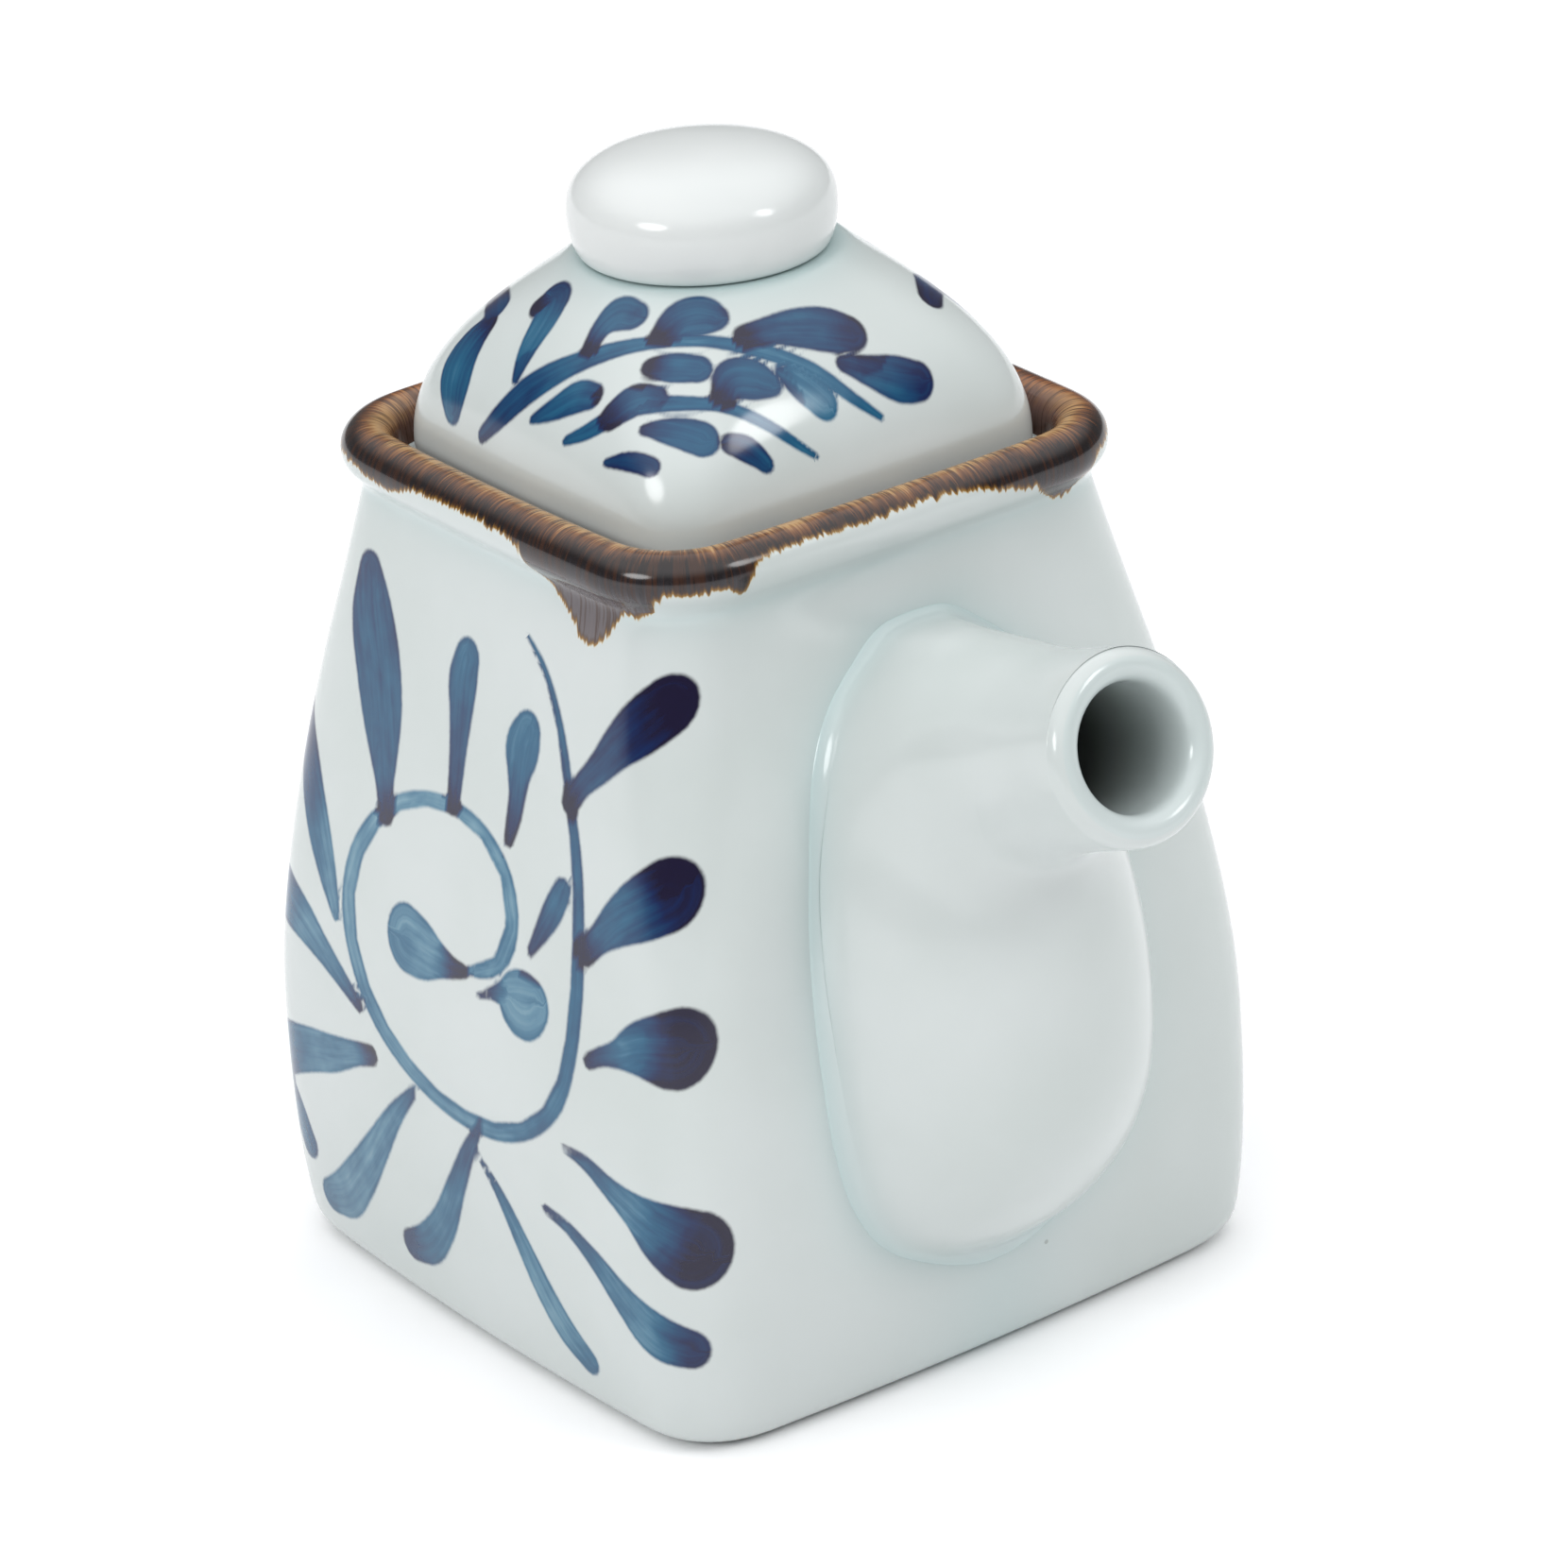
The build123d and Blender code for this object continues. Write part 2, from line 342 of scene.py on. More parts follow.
body_rows = [(0.0, 12.0, 5.0), (0.0, 26.0, 6.0), (0.0, 34.5, 6.5)]
foot_half = float(body_half(FOOT_ROUND)) - FOOT_ROUND
for angle in (0, 18, 36, 54, 72, 90):
    swing = math.radians(angle)
    body_rows.append((
        FOOT_ROUND * (1 - math.cos(swing)),
        foot_half + FOOT_ROUND * math.sin(swing),
        BODY_CORNER,
    ))
for height in (7, 10, 13, 16.5, 20, 24, 28, 32, 36, 40, 44, 48, 52, 56, 60, 64, 68, 72, 76, 80, 84, 87.3, 90):
    body_rows.append((height, float(body_half(height)), BODY_CORNER))
body_rows.append((91.6, NECK_HALF + 0.05, 8.9))
body_rows.append((92.5, NECK_HALF + 0.35, 9.3))
for angle in range(-55, 181, 22):
    swing = math.radians(angle)
    body_rows.append((
        ROLL_HEIGHT + ROLL_RADIUS * math.sin(swing),
        ROLL_HALF + ROLL_RADIUS * math.cos(swing),
        ROLL_CORNER + ROLL_RADIUS * math.cos(swing),
    ))
body_rows += [
    (94.6, MOUTH_HALF - 0.25, 6.6),
    (94.1, MOUTH_HALF - 0.45, 6.4),
    (LEDGE_HEIGHT, MOUTH_HALF - 1.0, 6.3),
    (LEDGE_HEIGHT, THROAT_HALF + 0.7, 6.2),
    (93.8, THROAT_HALF + 0.1, 6.0),
    (93.2, THROAT_HALF, 6.0),
    (THROAT_FOOT + 0.4, THROAT_HALF, 6.0),
    (THROAT_FOOT - 0.4, THROAT_HALF + 0.4, 6.0),
]
for height in (82, 62, 40, 18):
    body_rows.append((height, float(body_half(height)) - WALL, BODY_CORNER - 2.4))
inner_foot = float(body_half(8)) - WALL
body_rows += [
    (8.0, inner_foot - 0.5, BODY_CORNER - 2.4),
    (5.8, inner_foot - 1.8, BODY_CORNER - 2.6),
    (FLOOR_TOP, inner_foot - 4.0, BODY_CORNER - 3.0),
    (FLOOR_TOP, 22.0, 5.0),
    (FLOOR_TOP, 10.0, 4.0),
]
body = square_shell("body_glazed", [row + (BODY_BOW,) for row in body_rows])
settle(body, 2)
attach(body, "bottle")
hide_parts("vessel")
print("body has", len(body.data.polygons), "faces")

# %% [markdown]
# ## The spout
# A hollow bulb is luted onto the wall, and a short tube leaves its upper end. Clay is smoothed
# where the two meet, so there is no hard line between them. We describe bulb, tube and wall as
# distances, melt them into one another over a few millimetres, and slide each ring of vertices
# onto that melted surface. The rings run from the wall, over the bulb, up the tube, round the lip
# and back down the bore.

# %% Spout as melted distances
SPOUT_RING = 64
BULB_HEIGHTS = (11.4, 14.6, 17.8, 22.9, 31.1, 42.1, 54.0, 65.0, 74.1, 79.6, 82.4)
BULB_HALF = (4.0, 8.5, 13.2, 17.0, 19.5, 20.2, 19.4, 17.0, 12.6, 7.6, 3.6)
BULB_STAND = (-1.5, 1.2, 5.4, 10.0, 14.6, 17.6, 18.8, 18.0, 14.0, 8.0, 3.0)
BULB_ROOT = 3.2
BULB_TOP = 82.8
SPOUT_WALL = 3.2
MOUTH_PLACE = np.array((69.5, 0.0, 82.0))
SPOUT_TILT = math.radians(20.0)
TUBE_RUN = np.array((math.cos(SPOUT_TILT), 0.0, math.sin(SPOUT_TILT)))
TUBE_UP = np.array((-math.sin(SPOUT_TILT), 0.0, math.cos(SPOUT_TILT)))
TUBE_SIDE = np.array((0.0, 1.0, 0.0))
LIP_RADIUS = 1.8
BORE_RADIUS = 6.75
LIP_CENTRE = BORE_RADIUS + LIP_RADIUS


def wall_distance(points):
    """Distance outside the body's +X side."""
    return points[:, 0] - (body_half(points[:, 2]) - points[:, 1] ** 2 / (2 * BODY_BOW))


def bulb_distance(points):
    """Roughly the distance outside the bulb."""
    half = np.maximum(smooth_through(points[:, 2], BULB_HEIGHTS, BULB_HALF), 0.8)
    stand = smooth_through(points[:, 2], BULB_HEIGHTS, BULB_STAND)
    reach = np.maximum(stand + BULB_ROOT, 0.8)
    across = (points[:, 0] - body_half(points[:, 2]) + BULB_ROOT) / reach
    oval = (np.hypot(across, points[:, 1] / half) - 1.0) * np.minimum(reach, half)
    return np.maximum(oval, points[:, 2] - BULB_TOP)


def tube_distance(points, radius_at):
    """Distance outside a round tube on the spout's axis."""
    offset = points - MOUTH_PLACE
    run = offset @ TUBE_RUN
    away = np.linalg.norm(offset - run[:, None] * TUBE_RUN, axis=1)
    return away - radius_at(run)


def tube_outside(run):
    """Outer radius of the tube, widening from the mouth down to its root."""
    return smooth_through(run, (-43.3, -26.8, -11.3, -1.8), (15.6, 13.2, 10.6, 10.35))


def tube_inside(run):
    """Radius of the bore: straight behind the lip, then widening towards the bulb."""
    return np.interp(run, (-43.3, -18.0), (10.5, BORE_RADIUS))


def melt(first, second, width):
    """Smooth union of two distances over a width."""
    closeness = np.maximum(width - np.abs(first - second), 0.0) / width
    return np.minimum(first, second) - closeness ** 2 * width / 4


def spout_skin(points):
    """Bulb and tube melted together, and to the wall by a narrow fillet of glaze."""
    form = melt(bulb_distance(points), tube_distance(points, tube_outside), 5.0)
    return melt(form, wall_distance(points), 2.0)


def spout_hollow(points):
    """The bulb's hollow melted with the bore."""
    bore = tube_distance(points, tube_inside)
    return melt(bulb_distance(points) + SPOUT_WALL, bore, 3.0)


def slide_onto(points, surface, wall_level=None, rounds=14):
    """Move points along the slope onto a surface, and to a level off the wall if asked."""
    nudge = 0.02
    for _ in range(rounds):
        slope = np.stack([
            surface(points + nudge * axis) - surface(points - nudge * axis)
            for axis in np.eye(3)
        ], axis=1) / (2 * nudge)
        size = np.maximum((slope ** 2).sum(axis=1), 0.2)
        points = points - 0.8 * (surface(points) / size)[:, None] * slope
        if wall_level is not None:
            points[:, 0] -= wall_distance(points) - wall_level
    return points


TURNS = np.linspace(0.0, 2 * math.pi, SPOUT_RING, endpoint=False)[:, None]


def guide_ring(top_edge, low_edge, half):
    """An oval between a point on the upper edge and one on the lower edge."""
    middle = (top_edge + low_edge) / 2
    return middle + (top_edge - middle) * np.cos(TURNS) + TUBE_SIDE * half * np.sin(TURNS)


def tube_ring(run, radius):
    """A circle round the spout's axis."""
    middle = MOUTH_PLACE + TUBE_RUN * run
    return middle + radius * (TUBE_UP * np.cos(TURNS) + TUBE_SIDE * np.sin(TURNS))


def along(path, share):
    """A point at a share of the length of a path in the bottle's middle plane."""
    path = np.asarray(path, float)
    run = np.concatenate(([0.0], np.cumsum(np.hypot(*np.diff(path, axis=0).T))))
    x = np.interp(share * run[-1], run, path[:, 0])
    z = np.interp(share * run[-1], run, path[:, 1])
    return np.array((x, 0.0, z))


# %% Spout rings
UPPER_EDGE = ((33.0, 84.9), (65.9, 91.9))
LOWER_EDGE = (
    (42.0, 13.6), (47.5, 17.5), (53.0, 24.0), (56.7, 32.0), (58.7, 42.0), (58.2, 53.0),
    (56.0, 61.0), (55.5, 65.5), (59.0, 66.5), (66.0, 69.3), (73.1, 72.1),
)
UPPER_HOLLOW = ((46.5, 79.5), (31.0, 79.5))
LOWER_HOLLOW = (
    (51.5, 67.5), (53.5, 60.0), (55.0, 50.0), (54.5, 40.0), (51.5, 30.0), (45.0, 20.5), (39.0, 18.0),
)
base_guide = guide_ring(along(UPPER_EDGE, 0.0), along(LOWER_EDGE, 0.0), 21.0)
spout_rings = []
for level in (0.10, 0.30, 0.75, 1.5):
    spout_rings.append(slide_onto(base_guide.copy(), spout_skin, level, rounds=60))
buried = spout_rings[0].copy()
buried[:, 0] -= 0.9
spout_rings.insert(0, buried)
for share in np.linspace(0.06, 0.97, 26):
    half = np.interp(share, (0.0, 0.3, 0.55, 0.72, 1.0), (20.5, 19.6, 16.0, 12.6, 10.35))
    guide = guide_ring(along(UPPER_EDGE, share), along(LOWER_EDGE, share), half)
    spout_rings.append(slide_onto(guide, spout_skin))
for angle in range(0, 181, 30):
    swing = math.radians(angle)
    spout_rings.append(tube_ring(
        LIP_RADIUS * (math.sin(swing) - 1.0), LIP_CENTRE + LIP_RADIUS * math.cos(swing)
    ))
for run in (-4.0, -8.0, -13.0, -18.0):
    spout_rings.append(tube_ring(run, BORE_RADIUS))
for share in np.linspace(0.03, 0.97, 12):
    half = np.interp(share, (0.0, 0.3, 0.7, 1.0), (7.5, 13.0, 16.0, 16.0))
    guide = guide_ring(along(UPPER_HOLLOW, share), along(LOWER_HOLLOW, share), half)
    spout_rings.append(slide_onto(guide, spout_hollow))
spout_rings.append(slide_onto(spout_rings[-1].copy(), spout_hollow, -0.8, rounds=60))

spout_bm = bmesh.new()
ring = bmesh.ops.create_circle(spout_bm, segments=SPOUT_RING, radius=1.0)["verts"]
for index, spots in enumerate(spout_rings):
    if index:
        ring = grow_ring(spout_bm, ring)
    for vertex, spot in zip(ring, spots):
        vertex.co = Vector(spot) * MM
rims = [edge for edge in spout_bm.edges if edge.is_boundary]
bmesh.ops.bridge_loops(spout_bm, edges=rims)
bmesh.ops.recalc_face_normals(spout_bm, faces=spout_bm.faces)
spout = into_piece("spout_glazed", spout_bm)
settle(spout, 2)
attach(spout, "bottle")
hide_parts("spout")
print("spout has", len(spout.data.polygons), "faces")

# %% [markdown]
# ## The lid
# The dome starts as the square plan and ends as a circle under the knob. The same rings can do
# that, because the plan becomes round when its corner radius and the bow of its sides close in on
# its half width. The shell turns in at the flat flange that sits on the ledge, and the inside of
# the dome is hollow.

# %% Lid dome
LID_HALF = 27.15
LID_HEIGHT = 24.2
DOME = (
    (0.00, 0.985, 7.6, 260.0), (0.19, 1.0, 8.2, 240.0), (0.34, 0.985, 8.6, 190.0),
    (0.50, 0.943, 9.4, 120.0), (0.66, 0.852, 10.4, 75.0), (0.805, 0.732, 11.6, 42.0),
    (0.925, 0.606, 12.2, 23.0), (1.0, 0.53, 12.6, 16.5),
)
COLLAR_BORE = THROAT_HALF - 0.6 - 2.8
dome_share, dome_half, dome_corner, dome_bow = (np.array(column) for column in zip(*DOME))


def dome_row(share, inset=0.0, drop=0.0, ease_in=0.45):
    """One ring of the dome, drawn in and lowered for the inside."""
    half = LID_HALF * float(smooth_through(share, dome_share, dome_half)) - inset
    half -= ease_in * math.sin(math.pi * min(max(share, 0.0), 1.0))
    corner = float(smooth_through(share, dome_share, dome_corner)) - inset * 0.7
    bow = float(np.exp(smooth_through(share, dome_share, np.log(dome_bow))))
    return (LEDGE_HEIGHT + LID_HEIGHT * share - drop, half, corner, max(bow, half + 1.5))


lid_rows = [
    (LEDGE_HEIGHT + 3.0, COLLAR_BORE, 4.5, BODY_BOW),
    (LEDGE_HEIGHT + 0.5, COLLAR_BORE, 4.5, BODY_BOW),
    (LEDGE_HEIGHT, COLLAR_BORE + 0.5, 4.8, BODY_BOW),
    (LEDGE_HEIGHT, LID_HALF - 2.2, 6.6, 260.0),
    (LEDGE_HEIGHT + 0.15, LID_HALF - 1.1, 7.2, 260.0),
    (LEDGE_HEIGHT + 0.9, LID_HALF * 0.985, 7.6, 260.0),
]
lid_rows += [dome_row(share) for share in (0.1, 0.19, 0.27, 0.35, 0.43, 0.51, 0.59, 0.66)]
lid_rows += [dome_row(share) for share in (0.73, 0.8, 0.86, 0.91, 0.95, 0.98)]
lid_top = LEDGE_HEIGHT + LID_HEIGHT
lid_rows += [
    (lid_top - 0.1, 14.2, 12.6, 16.2),
    (lid_top, 13.0, 12.0, 14.5),
    (lid_top, 8.0, 7.5, 9.0),
]
bm = bmesh.new()
ring = bmesh.ops.create_circle(bm, segments=RING, radius=1.0)["verts"]
lay_square(ring, *lid_rows[0])
inner_edge = ring
for row in lid_rows[1:]:
    ring = grow_ring(bm, ring)
    lay_square(ring, *row)
close_ring(bm, ring)
ring = inner_edge
for share in (0.3, 0.42, 0.54, 0.66, 0.76):
    ring = grow_ring(bm, ring)
    lay_square(ring, *dome_row(share, inset=3.3 + 1.6 * share, drop=1.6))
for shrink in (3.0, 8.0):
    height, half, corner, bow = dome_row(0.79, inset=4.6 + shrink, drop=1.6)
    ring = grow_ring(bm, ring)
    lay_square(ring, height, half, max(corner, 3.0), bow)
close_ring(bm, ring)
bmesh.ops.recalc_face_normals(bm, faces=bm.faces)
lid = into_piece("lid_dome_glazed", bm)
settle(lid, 2)
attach(lid, "lid")
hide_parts("lid_dome")
print("lid has", len(lid.data.polygons), "faces")

# %% [markdown]
# Under the dome a square collar drops into the throat and stops the lid from sliding off while
# pouring. It is a plain ring, rounded where fingers and glaze have softened it.

# %% Lid collar
COLLAR_HALF = THROAT_HALF - 0.6
COLLAR_DEPTH = 8.0
collar_bm = bmesh.new()
collar_low = LEDGE_HEIGHT - COLLAR_DEPTH
collar_rows = [
    (LEDGE_HEIGHT, COLLAR_HALF, 6.0), (collar_low + 4, COLLAR_HALF, 6.0),
    (collar_low + 1.2, COLLAR_HALF, 6.0), (collar_low + 0.35, COLLAR_HALF - 0.35, 5.8),
    (collar_low, COLLAR_HALF - 1.2, 5.3), (collar_low, COLLAR_BORE + 1.2, 5.0),
    (collar_low + 0.35, COLLAR_BORE + 0.35, 4.7), (collar_low + 1.2, COLLAR_BORE, 4.5),
    (collar_low + 4, COLLAR_BORE, 4.5), (LEDGE_HEIGHT, COLLAR_BORE, 4.5),
]
ring = bmesh.ops.create_circle(collar_bm, segments=RING, radius=1.0)["verts"]
for index, (height, half, corner) in enumerate(collar_rows):
    if index:
        ring = grow_ring(collar_bm, ring)
    lay_square(ring, height, half, corner, BODY_BOW)
bmesh.ops.bridge_loops(collar_bm, edges=[e for e in collar_bm.edges if e.is_boundary])
bmesh.ops.recalc_face_normals(collar_bm, faces=collar_bm.faces)
collar = into_piece("lid_collar_glazed", collar_bm)
settle(collar, 1)
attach(collar, "lid")
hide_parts("lid_collar")
print("collar stands", COLLAR_DEPTH, "mm deep")

# %% [markdown]
# ## The knob
# The knob is a round bun, so it is the one piece a lathe does make: a bead profile turned once
# round the upright axis. It pinches in at its foot, where glaze gathers in the groove.

# %% Knob
KNOB_RADIUS = 15.1
KNOB_HEIGHT = 11.3
KNOB_SHIFT = np.array((-0.3, -0.4, 0.0))   # luted on a little off centre
KNOB_PROFILE = (
    (0.0, 0.0), (9.0, 0.0), (13.2, 0.0), (13.95, 0.12), (14.3, 0.7), (14.8, 1.9), (15.05, 3.3),
    (15.12, 4.8), (14.95, 6.2), (14.4, 7.5), (13.4, 8.6), (11.8, 9.6), (9.6, 10.35),
    (6.6, 10.9), (3.3, 11.18), (0.0, 11.26),
)
knob_bm = bmesh.new()
bead = [knob_bm.verts.new((0.965 * r * MM, 0.0, (lid_top + z) * MM)) for r, z in KNOB_PROFILE]
line = [knob_bm.edges.new(pair) for pair in zip(bead, bead[1:])]
bmesh.ops.spin(
    knob_bm, geom=bead + line, cent=(0, 0, 0), axis=(0, 0, 1), angle=2 * math.pi, steps=48,
    use_merge=True,
)
bmesh.ops.remove_doubles(knob_bm, verts=knob_bm.verts, dist=1e-7)
bmesh.ops.recalc_face_normals(knob_bm, faces=knob_bm.faces)
knob = into_piece("lid_knob_glazed", knob_bm)
settle(knob, 2)
put_places(knob, places(knob) + KNOB_SHIFT)
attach(knob, "lid")
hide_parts("lid_knob")
print("knob has", len(knob.data.polygons), "faces")

# %% [markdown]
# ## Painting as distances
# The blue leaves are painted on the raw clay with a loaded brush and show through the clear glaze,
# so they are colour and not shape. We write each stroke as a few points with a width and an
# amount of ink, and store at every vertex how far it lies inside the nearest stroke. A distance
# stays sharp when it is read between vertices, where a painted mask would blur.

# %% Where a point lies on the square
FLAT_RUN = 0.25            # one side, as a share of the way round


def way_round(points, half, corner):
    """Share of a side from the middle of the -Y side towards +X, from -0.5 to 3.5."""
    half = np.broadcast_to(half, points.shape[:1])
    lean = BODY_BOW - half
    reach = (np.sqrt(2 * (BODY_BOW - corner) ** 2 - lean ** 2) - lean) / 2
    turn = np.arctan2(reach, reach + lean)
    side_run = BODY_BOW * turn
    octant = side_run + corner * (math.pi / 4 - turn)
    angle = np.arctan2(points[:, 1], points[:, 0])
    quarter = np.round(angle / (math.pi / 2))
    spin = -quarter * math.pi / 2
    out = points[:, 0] * np.cos(spin) - points[:, 1] * np.sin(spin)
    side = points[:, 0] * np.sin(spin) + points[:, 1] * np.cos(spin)
    sign = np.where(side < 0, -1.0, 1.0)
    side = np.abs(side)
    on_side = np.arctan2(side, out + lean)
    on_corner = np.clip(np.arctan2(side - reach, out - reach), turn, math.pi / 4)
    run = np.where(on_side < turn, BODY_BOW * on_side, side_run + corner * (on_corner - turn))
    share = quarter + sign * run / (2 * octant) + 1.0
    return np.where(share > 3.5, share - 4.0, np.where(share < -0.5, share + 4.0, share)), 2 * octant


def brush_path(stroke, steps=30, warp=None):
    """Points, width and ink along a stroke, smoothed through its marks, and their run."""
    marks = np.array(stroke, float)
    run = np.concatenate(([0.0], np.cumsum(np.hypot(*np.diff(marks[:, :2], axis=0).T))))
    at = np.linspace(0.0, run[-1], steps)
    path = np.stack([smooth_through(at, run, marks[:, k]) for k in range(4)], axis=1)
    return (warp(path) if warp else path), at


def nearest_on_path(spots, path):
    """For each spot: the nearest leg, the share along it, and the signed side distance."""
    start, leg = path[:-1, :2], np.diff(path[:, :2], axis=0)
    to_spot = spots[:, None, :] - start[None]
    share = np.clip((to_spot * leg).sum(-1) / np.maximum((leg ** 2).sum(-1), 1e-9), 0.0, 1.0)
    gap = to_spot - share[..., None] * leg
    away = np.hypot(gap[..., 0], gap[..., 1])
    return share, away, np.sign(leg[:, 0] * to_spot[..., 1] - leg[:, 1] * to_spot[..., 0])


FAR = -3.0


def paint_strokes(spots, strokes, warp=None):
    """Distance inside the strokes, place along and across the brush, and ink, at each spot."""
    edge = np.full(len(spots), FAR)
    flow = np.zeros((len(spots), 3))
    ink = np.zeros(len(spots))
    for number, stroke in enumerate(strokes):
        path, run = brush_path(stroke, warp=warp)
        margin = path[:, 2].max() / 2 + 3.0
        near = np.where(
            (np.abs(spots - path[:, :2].mean(axis=0)) < np.ptp(path[:, :2], axis=0) / 2 + margin + 4)
            .all(axis=1)
        )[0]
        if not len(near):
            continue
        share, away, side = nearest_on_path(spots[near], path)
        width = path[:-1, 2] + share * np.diff(path[:, 2])
        depth = width / 2 - away
        best = depth.argmax(axis=1)
        pick = (np.arange(len(near)), best)
        inside = depth[pick]
        here_ink = (path[:-1, 3] + share * np.diff(path[:, 3]))[pick]
        here_run = (run[:-1] + share * np.diff(run))[pick]
        newer = inside > edge[near]
        chosen = near[newer]
        edge[chosen] = inside[newer]
        flow[chosen, 0] = here_run[newer]
        flow[chosen, 1] = (away * side)[pick][newer]
        flow[chosen, 2] = number * 7.0
        touched = inside > -0.25
        ink[near[touched]] = np.maximum(ink[near[touched]], here_ink[touched])
        outside = newer & ~touched
        ink[near[outside]] = here_ink[outside]
    return edge, flow, ink


def line_of(spots, stems, warp=None):
    """Signed distance to the nearest stem, its half width there, and how near it is."""
    line = np.tile((3.0, 0.0, 0.0), (len(spots), 1))
    nearest = np.full(len(spots), 3.0)
    for stem in stems:
        path, run = brush_path(stem, 90, warp)
        share, away, side = nearest_on_path(spots, path)
        pick = (np.arange(len(spots)), away.argmin(axis=1))
        leg, along_leg = pick[1], share[pick]
        past_end = ((leg == 0) & (along_leg <= 0.0)) | ((leg == len(run) - 2) & (along_leg >= 1.0))
        closer = away[pick] < nearest
        nearest = np.where(closer, away[pick], nearest)
        half = (path[:-1, 2] + share * np.diff(path[:, 2]))[pick] / 2
        signed = np.where(past_end, 3.0 * side[pick], (away * side)[pick])
        line[closer, 0] = signed[closer]
        line[closer, 1] = np.where(past_end, -1.0, half)[closer]
    line[:, 2] = nearest
    return line


print("a stroke is stored as a depth, a flow and an ink value")

# %% [markdown]
# The side opposite the spout's right hand carries one long spiral stem with leaves pressed on all
# round it. Each mark is (across, height, width, ink) in millimetres from the middle of the side.
# The brush lands thin and lifts full, so most leaves swell towards one end, and ink gathers dark
# where it lands.

# %% Strokes on the body
STEM = (
    (8.5, 85.3, 0.5, 0.45), (11.5, 83.2, 0.8, 0.45), (14.3, 79.8, 1.1, 0.45), (17.0, 75.0, 1.3, 0.5),
    (18.7, 70.5, 1.6, 0.55), (20.8, 65.0, 1.7, 0.5), (22.1, 58.0, 2.0, 0.5), (22.6, 50.0, 2.2, 0.4),
    (21.9, 43.0, 2.2, 0.42), (20.0, 37.5, 2.2, 0.45), (16.0, 33.2, 2.1, 0.4), (11.0, 30.6, 2.1, 0.3),
    (5.0, 29.5, 2.2, 0.26), (-1.0, 29.7, 2.1, 0.26), (-8.0, 31.7, 2.3, 0.25),
    (-14.0, 35.2, 2.5, 0.25), (-18.3, 40.2, 2.5, 0.22), (-20.4, 46.0, 2.6, 0.2),
    (-19.7, 51.5, 2.5, 0.2), (-17.2, 56.0, 2.3, 0.18), (-12.8, 60.2, 1.8, 0.15),
    (-7.0, 62.9, 1.7, 0.15), (-1.0, 63.8, 1.6, 0.15), (5.0, 62.6, 1.7, 0.18), (9.0, 59.7, 1.9, 0.2),
    (10.9, 55.5, 2.1, 0.26), (10.3, 51.2, 2.1, 0.26), (7.4, 48.2, 1.7, 0.25), (4.0, 47.0, 1.2, 0.25),
)
